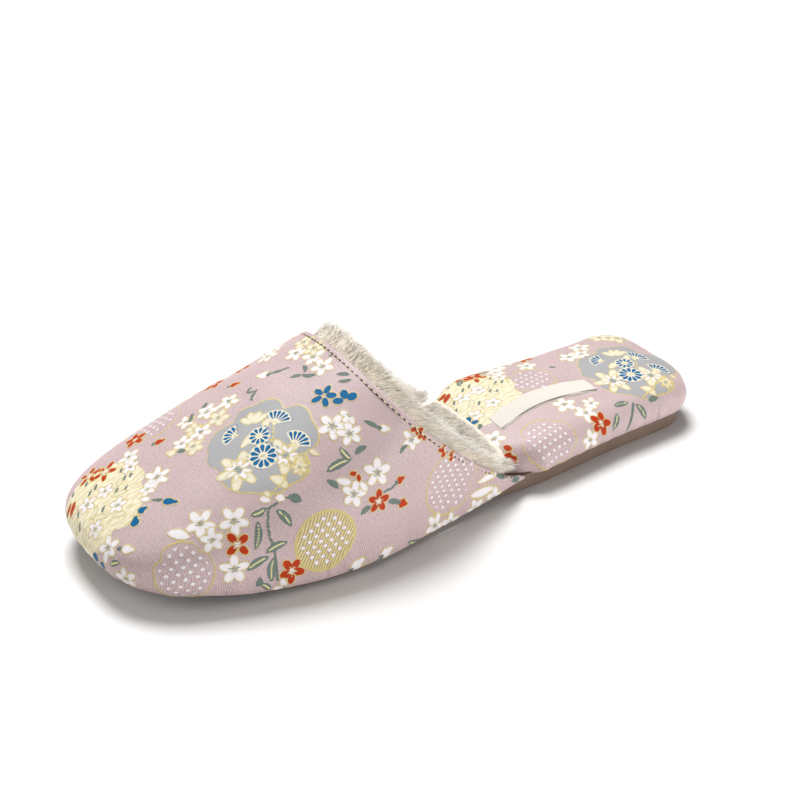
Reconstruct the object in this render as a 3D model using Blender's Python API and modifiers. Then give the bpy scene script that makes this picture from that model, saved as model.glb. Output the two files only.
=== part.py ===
"""Left house slipper: a closed-toe brocade mule on a thin rubber sole.

Five separate pieces, as a slipper maker puts them together:
  outsole    moulded rubber, thin at the toe and thicker at the heel, with toe spring
  footbed    padded insole, a full cushion at the heel and thinner inside the vamp
  upper      one hollow brocade wall, open at the collar and underneath
  fur_cuff   the plush lining where it rolls out of the collar, with locks on its free edge
  label      a bare woven label on the heel cushion

Frame: metres, +Y to the toe, +X to the wearer's right, +Z up, z = 0 on the floor.
Every piece is worked out from the same last: a table of half widths along the foot, a
curved centre line, and superellipse ends at the heel and the toe.
"""

import math

import bmesh
import bpy
import numpy as np
from mathutils import Vector

# ---- driving dimensions, metres ------------------------------------------------------
LENGTH = 0.250
HEEL_END = 0.0235  # length of the rounded heel end
TOE_END = 0.068  # length of the rounded toe end
HEEL_SQUARENESS = 3.4  # superellipse exponents of the two ends
TOE_SQUARENESS = 3.2
CENTRE_SWING = 0.0062  # how far heel and toe swing to the inner side of the foot
CENTRE_MEAN = 0.4  # share of that swing by which the waist goes the other way

# The last's half width at named stations along the foot.
LAST = (
    # name,   y,     half width
    ("heel", 0.035, 0.0293),
    ("waist", 0.096, 0.0332),
    ("ball", 0.176, 0.0461),
    ("toe", 0.250, 0.0410),
)

# Cells of a plan run from -1 at the heel to 1 at the toe; these two mark the straight part.
HEEL_SHARE = -0.7
TOE_SHARE = 0.4

SOLE_HEEL = 0.0078  # outsole thickness at the heel and at the ball
SOLE_BALL = 0.0034
SOLE_TAPER = (0.060, 0.170)  # stretch over which the sole thins
SOLE_INSET = 0.0028  # the cushion and vamp overhang the sole by this
SOLE_EDGE = 0.0008  # rounding at the sole's lower edge
ARCH_LIFT = 0.0010
ARCH_SPAN = (0.078, 0.140)
TOE_SPRING = 0.0065
SPRING_START = 0.172

CUSHION_HEEL = 0.0112  # footbed thickness at the heel and inside the vamp
CUSHION_FORE = 0.0075
CUSHION_TAPER = (0.070, 0.125)
CUSHION_EDGE = 0.0095  # rounding radius of its side at the heel, and inside the vamp
CUSHION_EDGE_FORE = 0.0062
CUSHION_TUCK = math.radians(28.0)  # the side bulges, and turns under by this at the sole
CUSHION_CROWN = 0.0012
VAMP_INSET = 0.0066  # how much narrower the footbed is inside the vamp
VAMP_INSET_SPAN = (0.082, 0.096)

WALL = 0.0026  # brocade, wadding and backing
GAP = 0.0003  # between pieces that touch
INSTEP_HEIGHT = 0.0603  # crest above the sole at the collar
TOE_HEIGHT = 0.0205  # crest height the instep line runs down to at the toe
COLLAR_SIDE = 0.0985  # y of the collar low on the side, and on the crest
COLLAR_CREST = 0.1545
COLLAR_POWER = 2.3
CORNER_SWEEP = 0.0065  # the collar's lower corner runs back by this much more
CORNER_POWER = 22.0
SECTION_TURN = math.radians(114.0)  # how far a section turns from crest to feather
SHOULDER = 0.16  # fullness of a section's shoulders

CUFF_THICK = 0.0060
CUFF_THICK_END = 0.0034  # at its two ends, beside the footbed
CUFF_TAPER = (0.6, 1.0)  # share of its length over which it thins
CUFF_OUT = 0.0056  # how far the plush stands out of the collar
CUFF_DEPTH = 0.016  # how far it reaches inside
CUFF_END = 0.945  # share of the section that it follows on each side
CUFF_ROLL = 0.0022  # how far its lip rolls over the brocade edge
CUFF_LIP_THIN = 0.55  # share of its thickness lost at the lip, and at its inner end
CUFF_ROOT_THIN = 0.75
LOCKS = 36
LOCK_DEPTH = 0.0014
LOCK_WANDER = 9.0  # slow change of the locks' length along the collar

LABEL_LENGTH = 0.046
LABEL_WIDTH = 0.0096
LABEL_THICK = 0.0007
LABEL_Y = 0.067
LABEL_X = -0.0058
LABEL_BOW = 0.0039

SHARP_ANGLE = math.radians(50.0)
NORMAL_STEP = 1e-3  # step of the central differences, in the vamp's own a and b
TURN_SAMPLES = 200


# ---- the last: shared functions ------------------------------------------------------
def ease(low, high, value):
    """Smooth step from 0 at low to 1 at high."""
    s = np.clip((np.asarray(value, float) - low) / (high - low), 0.0, 1.0)
    return s * s * (3.0 - 2.0 * s)


def half_width(y):
    """Half width of the last, eased from station to station."""
    width = np.full_like(np.asarray(y, float), LAST[0][2])
    for (_, y0, w0), (_, y1, w1) in zip(LAST, LAST[1:]):
        width = width + (w1 - w0) * ease(y0, y1, y)
    return width


def centre_line(y):
    """Sideways place of the foot's middle: a shallow bow, its ends to the inner side."""
    s = (np.asarray(y, float) - LENGTH / 2) / (LENGTH / 2)
    return CENTRE_SWING * (s * s - CENTRE_MEAN)


def toe_rise(y):
    """Lift of the sole by its toe spring."""
    rise = np.clip((np.asarray(y, float) - SPRING_START) / (LENGTH - SPRING_START), 0.0, 1.0)
    return TOE_SPRING * rise**2


def sole_under(y):
    """Height of the sole's underside: flat heel and forefoot, low arch, toe spring."""
    middle = sum(ARCH_SPAN) / 2
    arch = ease(ARCH_SPAN[0], middle, y) - ease(middle, ARCH_SPAN[1], y)
    return ARCH_LIFT * arch + toe_rise(y)


def sole_top(y):
    """Height of the sole's upper face, which the toe spring lifts and the arch doesn't."""
    return SOLE_BALL + (SOLE_HEEL - SOLE_BALL) * (1.0 - ease(*SOLE_TAPER, y)) + toe_rise(y)


def squircle(a, t, power):
    """Square (a, t), each up to 1, to a superellipse quarter: its rim maps to the rim."""
    p = a * (1.0 - t**power / 2.0) ** (1.0 / power)
    q = t * (1.0 - np.abs(a) ** power / 2.0) ** (1.0 / power)
    return p, q


def plan(a, b, inset):
    """Point of the sole's plan for a, b in -1..1; the square's rim is the outline, inset."""
    heel = np.clip((HEEL_SHARE - b) / (1.0 + HEEL_SHARE), 0.0, 1.0)
    toe = np.clip((b - TOE_SHARE) / (1.0 - TOE_SHARE), 0.0, 1.0)
    p_heel, q_heel = squircle(a, heel, HEEL_SQUARENESS)
    p_toe, q_toe = squircle(a, toe, TOE_SQUARENESS)
    p = np.where(b < 0.0, p_heel, p_toe)
    straight = np.clip((b - HEEL_SHARE) / (TOE_SHARE - HEEL_SHARE), 0.0, 1.0)
    y = HEEL_END + straight * (LENGTH - HEEL_END - TOE_END)
    y = y - q_heel * (HEEL_END - inset) + q_toe * (TOE_END - inset)
    return centre_line(y) + p * (half_width(y) - inset), y


def footbed_thickness(y):
    return CUSHION_FORE + (CUSHION_HEEL - CUSHION_FORE) * (1.0 - ease(*CUSHION_TAPER, y))


def cushion_crown(a, b):
    """How much fuller the cushion is in its middle than at its rim."""
    return CUSHION_CROWN * (1.0 - a**2) * (1.0 - b**4)


def crest_height(y):
    """Height of the vamp's crest above the sole: a straight run down to the toe."""
    return TOE_HEIGHT + (INSTEP_HEIGHT - TOE_HEIGHT) * (LENGTH - y) / (LENGTH - COLLAR_CREST)


def collar(a):
    """Where the collar's edge lies along the foot, its lower corners swept back."""
    side = np.abs(a)
    run = (COLLAR_CREST - COLLAR_SIDE) * (1.0 - side**COLLAR_POWER)
    return COLLAR_SIDE + run - CORNER_SWEEP * side**CORNER_POWER


def fullness(turn):
    """Half width of a section at an angle from its crest, before it is scaled to 1."""
    return np.sin(turn) * (1.0 + SHOULDER * np.cos(turn) ** 2)


def vamp(a, b):
    """Outer face of the vamp: a runs across it, b from the collar at -1 to the toe at 1.

    A section turns from the crest through SECTION_TURN to the feather, so that its side
    bulges over the sole. In the toe the same section is swept round a superellipse.
    """
    a, b = np.broadcast_arrays(np.asarray(a, float), np.asarray(b, float))
    p, q = squircle(a, np.clip(b, 0.0, 1.0), TOE_SQUARENESS)
    r = (np.abs(p) ** TOE_SQUARENESS + q**TOE_SQUARENESS) ** (1.0 / TOE_SQUARENESS)
    turn = r * SECTION_TURN
    widest = fullness(np.linspace(0.0, SECTION_TURN, TURN_SAMPLES)).max()
    tiny = np.finfo(float).eps
    at_crest = SECTION_TURN * (1.0 + SHOULDER) / widest
    stretch = np.where(r > tiny, fullness(turn) / widest / np.maximum(r, tiny), at_crest)
    up = (np.cos(turn) - math.cos(SECTION_TURN)) / (1.0 - math.cos(SECTION_TURN))
    root = LENGTH - TOE_END
    y = np.where(b < 0.0, root + b * (root - collar(a)), root + q * stretch * TOE_END)
    x = centre_line(y) + p * stretch * half_width(y)
    z = sole_top(y) + GAP + crest_height(y) * up
    return np.stack([x, y, z], axis=-1)


def vamp_normal(a, b):
    """Outward unit normal of the vamp, by central differences."""
    along_a = vamp(a + NORMAL_STEP, b) - vamp(a - NORMAL_STEP, b)
    along_b = vamp(a, b + NORMAL_STEP) - vamp(a, b - NORMAL_STEP)
    n = np.cross(along_a, along_b)
    return n / np.linalg.norm(n, axis=-1, keepdims=True)


# ---- mesh helpers --------------------------------------------------------------------
def block(cuts):
    """A cube from -1 to 1, cut into cuts[0] x cuts[1] x cuts[2] cells."""
    bm = bmesh.new()
    bmesh.ops.create_cube(bm, size=2.0)
    for axis, count in enumerate(cuts):
        if count < 2:
            continue
        edges = [e for e in bm.edges if abs(e.verts[0].co[axis] - e.verts[1].co[axis]) > GAP]
        bmesh.ops.subdivide_edges(bm, edges=edges, cuts=count - 1, use_grid_fill=True)
    return bm


def shaped(bm, name, function, material, collection):
    """Moves every vertex of bm by function(a, b, c) and makes an object of it."""
    cage = np.array([v.co for v in bm.verts], float)
    places = function(cage[:, 0], cage[:, 1], cage[:, 2])
    for vertex, place in zip(bm.verts, places):
        vertex.co = Vector(place)
    closed = all(edge.is_manifold for edge in bm.edges)
    if closed and bm.calc_volume(signed=True) < 0.0:  # the function mirrored the block
        bmesh.ops.reverse_faces(bm, faces=bm.faces)
    mesh = bpy.data.meshes.new(name)
    bm.to_mesh(mesh)
    bm.free()
    mesh.materials.append(material)
    mesh.shade_smooth()
    mesh.set_sharp_from_angle(angle=SHARP_ANGLE)
    obj = bpy.data.objects.new(name, mesh)
    collection.objects.link(obj)
    return obj


def plain_material(name, colour, roughness):
    material = bpy.data.materials.new(name)
    material.use_nodes = True
    shader = material.node_tree.nodes["Principled BSDF"]
    shader.inputs["Base Color"].default_value = (*colour, 1.0)
    shader.inputs["Roughness"].default_value = roughness
    return material


# ---- pieces --------------------------------------------------------------------------
def make_outsole(collection):
    """Sole block: c = -1 is the underside, whose edge is rounded by a small inset."""

    def shape(a, b, c):
        under = c < -0.5
        x, y = plan(a, b, SOLE_INSET + SOLE_EDGE * under)
        side = np.where(c < 0.5, sole_under(y) + SOLE_EDGE, sole_top(y))
        return np.stack([x, y, np.where(under, sole_under(y), side)], axis=1)

    material = plain_material("taupe_rubber", (0.22, 0.15, 0.12), 0.7)
    return shaped(block((8, 44, 2)), "outsole", shape, material, collection)


def make_footbed(collection):
    """Cushion: c = -1 lies on the sole, and its side swells out and rounds in to the top."""

    def shape(a, b, c):
        inside = ease(*VAMP_INSET_SPAN, plan(a, b, 0.0)[1])
        turn = (c + 1.0) / 2.0 * (math.pi / 2 + CUSHION_TUCK) - CUSHION_TUCK
        rounding = (CUSHION_EDGE + (CUSHION_EDGE_FORE - CUSHION_EDGE) * inside) * (1.0 - np.cos(turn))
        x, y = plan(a, b, VAMP_INSET * inside + rounding)
        share = (np.sin(turn) + math.sin(CUSHION_TUCK)) / (1.0 + math.sin(CUSHION_TUCK))
        crown = cushion_crown(a, b) * (c > 0.5) * (share > 1.0 - GAP)
        z = sole_top(y) + GAP + footbed_thickness(y) * share + crown
        return np.stack([x, y, z], axis=1)

    material = plain_material("brocade_cushion", (0.80, 0.66, 0.68), 0.6)
    return shaped(block((8, 44, 6)), "footbed", shape, material, collection)


def make_upper(collection):
    """Vamp: one open surface, thickened inwards to a wall that is open at collar and foot."""
    bm = bmesh.new()
    bmesh.ops.create_grid(bm, x_segments=26, y_segments=32, size=1.0)
    material = plain_material("brocade", (0.78, 0.62, 0.65), 0.6)
    upper = shaped(bm, "upper", lambda a, b, c: vamp(a, b), material, collection)
    wall = upper.modifiers.new("wall", "SOLIDIFY")
    wall.thickness = WALL
    wall.offset = -1.0
    wall.use_even_offset = True
    return upper


def make_fur_cuff(collection):
    """Plush roll: follows the collar inside the wall, with locks along its free lip.

    a runs along the collar, b from the free lip at -1 to its inner end at 1, and c from
    the wall side at -1 to the foot side at 1. The lip rolls outwards over the wall's edge.
    """

    def shape(a, b, c):
        along = CUFF_END * a
        lock = (1.0 + np.cos(math.pi * LOCKS * a)) / 2.0 * (1.0 + np.sin(LOCK_WANDER * a)) / 2.0
        reach = np.where(b < 0.0, b * (CUFF_OUT - LOCK_DEPTH * lock), b * CUFF_DEPTH)
        b_vamp = -1.0 + reach / (LENGTH - TOE_END - collar(along))
        lip = np.clip(-b, 0.0, 1.0)
        thin = 1.0 - CUFF_LIP_THIN * lip**2 - CUFF_ROOT_THIN * np.clip(b, 0.0, 1.0) ** 2
        thick = CUFF_THICK + (CUFF_THICK_END - CUFF_THICK) * ease(*CUFF_TAPER, np.abs(a))
        depth = WALL + 2.0 * GAP - CUFF_ROLL * lip + thick * thin * (c + 1.0) / 2.0
        return vamp(along, b_vamp) - vamp_normal(along, np.maximum(b_vamp, -1.0)) * depth[:, None]

    material = plain_material("cream_plush", (0.86, 0.81, 0.70), 0.95)
    return shaped(block((LOCKS * 2, 6, 2)), "fur_cuff", shape, material, collection)


def make_label(collection):
    """Bare woven label, bowed across the heel cushion and following its crown."""

    def shape(a, b, c):
        y = LABEL_Y + b * LABEL_LENGTH / 2
        off_centre = LABEL_X + a * LABEL_WIDTH / 2 - LABEL_BOW * b * b
        straight = (y - HEEL_END) / (LENGTH - HEEL_END - TOE_END)
        crown = cushion_crown(
            off_centre / (half_width(y) - CUSHION_EDGE),
            HEEL_SHARE + straight * (TOE_SHARE - HEEL_SHARE),
        )
        z = sole_top(y) + footbed_thickness(y) + crown + 2.0 * GAP
        x = centre_line(y) + off_centre
        return np.stack([x, y, z + (c + 1.0) / 2.0 * LABEL_THICK], axis=1)

    material = plain_material("woven_label", (0.90, 0.87, 0.80), 0.7)
    return shaped(block((2, 12, 1)), "label", shape, material, collection)


def centre_on_floor(pieces):
    """Moves the pieces so that the whole slipper's box stands centred on the origin."""
    graph = bpy.context.evaluated_depsgraph_get()
    corners = []
    for piece in pieces:
        mesh = piece.evaluated_get(graph).to_mesh()
        corners += [tuple(v.co) for v in mesh.vertices]
    low, high = np.min(corners, axis=0), np.max(corners, axis=0)
    shift = Vector((-(low[0] + high[0]) / 2, -(low[1] + high[1]) / 2, -low[2]))
    for piece in pieces:
        piece.location = shift


def main():
    for obj in list(bpy.data.objects):
        bpy.data.objects.remove(obj)
    collection = bpy.data.collections.new("slipper")
    bpy.context.scene.collection.children.link(collection)
    makers = (make_outsole, make_footbed, make_upper, make_fur_cuff, make_label)
    pieces = [make(collection) for make in makers]
    bpy.context.view_layer.update()
    centre_on_floor(pieces)


main()
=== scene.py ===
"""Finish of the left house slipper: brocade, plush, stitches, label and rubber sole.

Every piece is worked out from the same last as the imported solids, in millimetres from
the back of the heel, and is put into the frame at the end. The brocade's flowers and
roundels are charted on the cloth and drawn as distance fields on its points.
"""

import logging
import math
from dataclasses import dataclass, field, replace
from enum import IntEnum
from typing import Callable, Iterable, Sequence

import bpy
import numpy as np
from bpy.types import Material, Node, NodeSocket, Object
from mathutils import Matrix, Vector
from numpy.random import Generator


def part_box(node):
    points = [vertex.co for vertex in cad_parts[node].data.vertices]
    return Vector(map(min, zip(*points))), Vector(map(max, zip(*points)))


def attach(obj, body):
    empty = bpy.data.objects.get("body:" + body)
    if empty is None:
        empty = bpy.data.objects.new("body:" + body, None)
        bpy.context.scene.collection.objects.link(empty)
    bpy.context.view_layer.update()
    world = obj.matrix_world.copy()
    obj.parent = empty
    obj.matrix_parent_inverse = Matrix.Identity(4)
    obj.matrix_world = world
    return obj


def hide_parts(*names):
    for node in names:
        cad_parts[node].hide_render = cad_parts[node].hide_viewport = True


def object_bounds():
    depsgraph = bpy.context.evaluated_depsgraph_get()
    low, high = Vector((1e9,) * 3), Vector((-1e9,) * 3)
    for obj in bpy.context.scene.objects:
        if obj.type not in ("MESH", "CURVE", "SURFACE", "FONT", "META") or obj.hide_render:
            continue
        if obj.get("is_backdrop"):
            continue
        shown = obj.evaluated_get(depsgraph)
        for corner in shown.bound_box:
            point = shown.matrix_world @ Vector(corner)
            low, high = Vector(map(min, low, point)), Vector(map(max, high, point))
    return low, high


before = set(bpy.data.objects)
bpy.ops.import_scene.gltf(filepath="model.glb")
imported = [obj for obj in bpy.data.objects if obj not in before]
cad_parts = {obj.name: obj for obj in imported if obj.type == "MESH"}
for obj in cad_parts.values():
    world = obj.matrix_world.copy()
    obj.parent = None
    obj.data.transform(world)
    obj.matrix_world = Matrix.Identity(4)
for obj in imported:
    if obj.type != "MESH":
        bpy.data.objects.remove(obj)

Array = np.ndarray
Pair = tuple[float, float]
Triple = tuple[float, float, float]
Colour = tuple[int, int, int]

LOG = logging.getLogger("slipper")
MM = 0.001  # a millimetre in metres
TURN = 2.0 * math.pi  # a full turn in radians
UV_SPAN = 250.0  # millimetres of cloth in one unit of its UV map
FAR = 4.0  # distance, in millimetres, at which a motif no longer counts
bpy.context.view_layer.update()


# ---- small numeric helpers -----------------------------------------------------------
def ease(low: float, high: float, value: Array) -> Array:
    """Smooth step from 0 at low to 1 at high."""
    s = np.clip((np.asarray(value, float) - low) / (high - low), 0.0, 1.0)
    return s * s * (3.0 - 2.0 * s)


def unit(vectors: Array) -> Array:
    """Each vector divided by its length."""
    return vectors / np.maximum(np.linalg.norm(vectors, axis=-1, keepdims=True), 1e-12)


def grid_normals(points: Array) -> Array:
    """Unit normals of a grid of points: the cross product of its two directions."""
    return unit(np.cross(np.gradient(points, axis=1), np.gradient(points, axis=0)))


def arc_lengths(points: Array, axis: int, start: int) -> Array:
    """Length along a grid's lines, counted from the line's point with number start."""
    steps = np.linalg.norm(np.diff(points, axis=axis), axis=-1)
    lengths = np.insert(np.cumsum(steps, axis=axis), 0, 0.0, axis=axis)
    return lengths - np.take(lengths, [start], axis=axis)


def turned(x: Array, y: Array, angle: float) -> tuple[Array, Array]:
    """Places along and across a direction at that angle."""
    c, s = math.cos(angle), math.sin(angle)
    return x * c + y * s, y * c - x * s


def segment_gap(points: Array, first: Array, last: Array) -> tuple[Array, Array]:
    """Distance from each point to a straight segment, and the share of its length beside it."""
    run = last - first
    share = np.clip((points - first) @ run / max(run @ run, 1e-9), 0.0, 1.0)
    return np.linalg.norm(points - first - share[:, None] * run, axis=1), share


def waves(places: Array, pitch: float, count: int, rng: Generator) -> Array:
    """Smooth noise: the mean of count sine waves of about that pitch, in random directions.

    Args:
        places: Points, one row each.
        pitch: Length of a wave, in the units of places.
        count: Number of waves.
        rng: Seeded source of the directions, pitches and phases.

    Returns:
        One value for each point, mostly within -1 to 1.
    """
    total = np.zeros(places.shape[:-1])
    for _ in range(count):
        heading = unit(rng.normal(size=places.shape[-1]))
        size = pitch * rng.uniform(0.7, 1.4)
        total += np.sin(places @ heading * (TURN / size) + rng.uniform(0.0, TURN))
    return total * math.sqrt(2.0 / count)


# ---- the last ------------------------------------------------------------------------
@dataclass(frozen=True)
class Last:
    """The last and the sizes of the slipper's pieces, in millimetres from the heel's back.

    In its methods y is a place along the foot, and a and b, each -1 to 1, are the values
    across and along a surface.
    """

    length: float = 250.0
    heel_end: float = 23.5
    toe_end: float = 68.0
    heel_squareness: float = 3.4
    toe_squareness: float = 3.2
    centre_swing: float = 6.2
    centre_mean: float = 0.4
    # places along the foot, each with its half width
    stations: tuple[Pair, ...] = ((35.0, 29.3), (96.0, 33.2), (176.0, 46.1), (250.0, 41.0))
    heel_share: float = -0.7  # value of b where the rounded heel ends
    toe_share: float = 0.4  # value of b where the rounded toe begins
    sole_heel: float = 7.8
    sole_ball: float = 3.4
    sole_taper: Pair = (60.0, 170.0)
    arch_lift: float = 1.0
    arch_span: Pair = (78.0, 140.0)
    toe_spring: float = 6.5
    spring_start: float = 172.0
    cushion_heel: float = 11.2
    cushion_fore: float = 7.5
    cushion_taper: Pair = (70.0, 125.0)
    cushion_edge: float = 9.5
    cushion_edge_fore: float = 6.2
    cushion_tuck: float = math.radians(28.0)
    cushion_crown: float = 1.2
    vamp_inset: float = 6.6
    vamp_inset_span: Pair = (82.0, 96.0)
    wall: float = 2.6
    gap: float = 0.3
    instep_height: float = 60.3
    toe_height: float = 20.5
    collar_side: float = 98.5
    collar_crest: float = 154.5
    collar_power: float = 2.3
    corner_sweep: float = 6.5
    corner_power: float = 22.0
    section_turn: float = math.radians(114.0)  # angle of a section from its crest to the feather
    shoulder: float = 0.16  # how much fuller it is near its crest

    @property
    def root(self) -> float:
        """Where the rounded toe begins."""
        return self.length - self.toe_end

    def half_width(self, y: Array) -> Array:
        """Half width of the last, eased from station to station."""
        width = np.full_like(np.asarray(y, float), self.stations[0][1])
        for (y0, w0), (y1, w1) in zip(self.stations, self.stations[1:]):
            width = width + (w1 - w0) * ease(y0, y1, y)
        return width

    def centre_line(self, y: Array) -> Array:
        """Sideways place of the foot's middle: a shallow bow."""
        s = (np.asarray(y, float) - self.length / 2) / (self.length / 2)
        return self.centre_swing * (s * s - self.centre_mean)

    def toe_rise(self, y: Array) -> Array:
        """Lift of the sole by its toe spring: a parabola from where the spring starts."""
        rise = (np.asarray(y, float) - self.spring_start) / (self.length - self.spring_start)
        return self.toe_spring * np.clip(rise, 0.0, 1.0) ** 2

    def sole_under(self, y: Array) -> Array:
        """Height of the sole's underside: flat heel and forefoot, low arch, toe spring."""
        middle = sum(self.arch_span) / 2
        arch = ease(self.arch_span[0], middle, y) - ease(middle, self.arch_span[1], y)
        return self.arch_lift * arch + self.toe_rise(y)

    def sole_top(self, y: Array) -> Array:
        """Height of the sole's upper face."""
        thick = self.sole_ball + (self.sole_heel - self.sole_ball) * (1.0 - ease(*self.sole_taper, y))
        return thick + self.toe_rise(y)

    def squircle(self, a: Array, t: Array, power: float) -> tuple[Array, Array]:
        """Square (a, t), each up to 1, to a superellipse quarter: its rim maps to the rim."""
        p = a * (1.0 - t**power / 2.0) ** (1.0 / power)
        q = t * (1.0 - np.abs(a) ** power / 2.0) ** (1.0 / power)
        return p, q

    def plan(self, a: Array, b: Array, inset: Array) -> tuple[Array, Array]:
        """Plan of the foot for values on a square, whose rim becomes the inset outline.

        Args:
            a: Value across.
            b: Value along, -1 at the heel and 1 at the toe.
            inset: Distance of the rim inside the outline.

        Returns:
            Places x and y.
        """
        heel = np.clip((self.heel_share - b) / (1.0 + self.heel_share), 0.0, 1.0)
        toe = np.clip((b - self.toe_share) / (1.0 - self.toe_share), 0.0, 1.0)
        p_heel, q_heel = self.squircle(a, heel, self.heel_squareness)
        p_toe, q_toe = self.squircle(a, toe, self.toe_squareness)
        p = np.where(b < 0.0, p_heel, p_toe)
        straight = (b - self.heel_share) / (self.toe_share - self.heel_share)
        y = self.heel_end + np.clip(straight, 0.0, 1.0) * (self.root - self.heel_end)
        y = y - q_heel * (self.heel_end - inset) + q_toe * (self.toe_end - inset)
        return self.centre_line(y) + p * (self.half_width(y) - inset), y

    def share_at(self, y: float) -> float:
        """Plan value b of a place y on the straight part of the foot."""
        straight = (y - self.heel_end) / (self.root - self.heel_end)
        return self.heel_share + straight * (self.toe_share - self.heel_share)

    def round_rim(self, p: Array, q: Array) -> tuple[Array, Array, Array]:
        """Plan values for p and q that run beyond -1..1, for a skin that turns down its rim.

        What is beyond stays on the rim, and is drawn in towards a corner by the square
        of the other value, so that no faces fold over there.

        Args:
            p: Grid value across.
            q: Grid value along.

        Returns:
            Plan values a and b, and how far the larger of p and q has run, 1 or more.
        """
        over = np.maximum(np.maximum(np.abs(p), np.abs(q)), 1.0)
        a, b = (c * (1.0 - np.minimum(np.abs(c), 1.0) ** 2 * (1.0 - 1.0 / over)) for c in (p, q))
        return np.clip(a, -1.0, 1.0), np.clip(b, -1.0, 1.0), over

    def footbed_top(self, y: Array) -> Array:
        """Height of the footbed's upper face at its rim."""
        extra = (self.cushion_heel - self.cushion_fore) * (1.0 - ease(*self.cushion_taper, y))
        return self.sole_top(y) + self.gap + self.cushion_fore + extra

    def footbed(self, a: Array, b: Array, side: Array) -> Array:
        """Surface of the footbed.

        Args:
            a: Place across the plan, -1 to 1.
            b: Place along the plan, -1 at the heel to 1 at the toe.
            side: 0 on the upper face, rising to 1 where the side meets the sole.

        Returns:
            Points; the side turns from upright through the bulge and tucks under.
        """
        inside = ease(*self.vamp_inset_span, self.plan(a, b, 0.0)[1])
        turn = math.pi / 2 - side * (math.pi / 2 + self.cushion_tuck)
        edge = self.cushion_edge + (self.cushion_edge_fore - self.cushion_edge) * inside
        x, y = self.plan(a, b, self.vamp_inset * inside + edge * (1.0 - np.cos(turn)))
        share = (np.sin(turn) + math.sin(self.cushion_tuck)) / (1.0 + math.sin(self.cushion_tuck))
        crown = self.cushion_crown * (1.0 - a**2) * (1.0 - b**4)
        base = self.sole_top(y) + self.gap
        return np.stack([x, y, base + (self.footbed_top(y) - base) * share + crown], axis=-1)

    def collar(self, a: Array) -> Array:
        """Where the collar's edge lies along the foot, its lower corners swept back."""
        side = np.abs(a)
        run = (self.collar_crest - self.collar_side) * (1.0 - side**self.collar_power)
        return self.collar_side + run - self.corner_sweep * side**self.corner_power

    def fullness(self, turn: Array) -> Array:
        """Half width of a section at an angle from its crest, before it is scaled to 1."""
        return np.sin(turn) * (1.0 + self.shoulder * np.cos(turn) ** 2)

    @property
    def widest(self) -> float:
        """The largest value of fullness, by which a section is scaled to the half width."""
        return self.fullness(np.linspace(0.0, self.section_turn, 200)).max()

    def section_rise(self, turn: Array) -> Array:
        """Share of a section's height at an angle: 1 at the crest and 0 at the feather."""
        return (np.cos(turn) - math.cos(self.section_turn)) / (1.0 - math.cos(self.section_turn))

    def section_height(self, y: Array) -> Array:
        """Height of a section's crest over its feather, falling evenly from instep to toe."""
        rise = (self.instep_height - self.toe_height) * (self.length - y)
        return self.toe_height + rise / (self.length - self.collar_crest)

    def off_collar(self, a: Array, reach: Array | float) -> Array:
        """Value of b on the vamp at a distance from the collar's edge."""
        return -1.0 + reach / (self.root - self.collar(a))

    def vamp(self, a: Array, b: Array) -> Array:
        """Outer face of the vamp.

        A section turns from the crest to the feather, so that its side bulges over the
        sole. In the toe the same section is swept round a superellipse.

        Args:
            a: Value across, 0 at the crest.
            b: Value along: -1 at the collar, 0 at the toe's root, 1 at its tip.

        Returns:
            Points.
        """
        a, b = np.broadcast_arrays(np.asarray(a, float), np.asarray(b, float))
        power = self.toe_squareness
        p, q = self.squircle(a, np.clip(b, 0.0, 1.0), power)
        r = (np.abs(p) ** power + q**power) ** (1.0 / power)
        turn = r * self.section_turn
        at_crest = self.section_turn * (1.0 + self.shoulder) / self.widest
        stretch = np.where(r > 1e-9, self.fullness(turn) / self.widest / np.maximum(r, 1e-9), at_crest)
        ahead = np.where(b < 0.0, b * (self.root - self.collar(a)), q * stretch * self.toe_end)
        y = self.root + ahead
        z = self.sole_top(y) + self.gap + self.section_height(y) * self.section_rise(turn)
        return np.stack([self.centre_line(y) + p * stretch * self.half_width(y), y, z], axis=-1)

    def vamp_frame(self, a: Array, b: Array, step: float = 1e-3) -> tuple[Array, Array, Array]:
        """Outward normal and the unit directions of growing a and b, by central differences."""
        along_a = unit(self.vamp(a + step, b) - self.vamp(a - step, b))
        along_b = unit(self.vamp(a, b + step) - self.vamp(a, b - step))
        return unit(np.cross(along_a, along_b)), along_a, along_b

    def row_shift(self) -> Array:
        """Shift from the heel's back to the frame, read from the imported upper's box."""
        low, high = (np.array(corner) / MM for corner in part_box("upper"))
        a, b = np.meshgrid(np.linspace(-1.0, 1.0, 27), np.linspace(-1.0, 1.0, 33))
        own = self.vamp(a, b).reshape(-1, 3)
        shift = (low + high) / 2 - (own.min(axis=0) + own.max(axis=0)) / 2
        return np.array([shift[0], high[1] - self.length, 0.0])


LAST = Last()
SHIFT = LAST.row_shift()


# ---- mesh helpers --------------------------------------------------------------------
def grid_faces(rows: int, columns: int, wrap: bool = False, first: int = 0) -> Array:
    """Quads of a grid of points stored row by row.

    Args:
        rows: Number of rows of points.
        columns: Number of points in a row.
        wrap: Whether each row closes on itself.
        first: Number of the grid's first point.

    Returns:
        Four point numbers for each face.
    """
    numbers = first + np.arange(rows * columns).reshape(rows, columns)
    if wrap:
        numbers = np.concatenate([numbers, numbers[:, :1]], axis=1)
    corners = numbers[:-1, :-1], numbers[:-1, 1:], numbers[1:, 1:], numbers[1:, :-1]
    return np.stack(corners, axis=-1).reshape(-1, 4)


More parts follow.
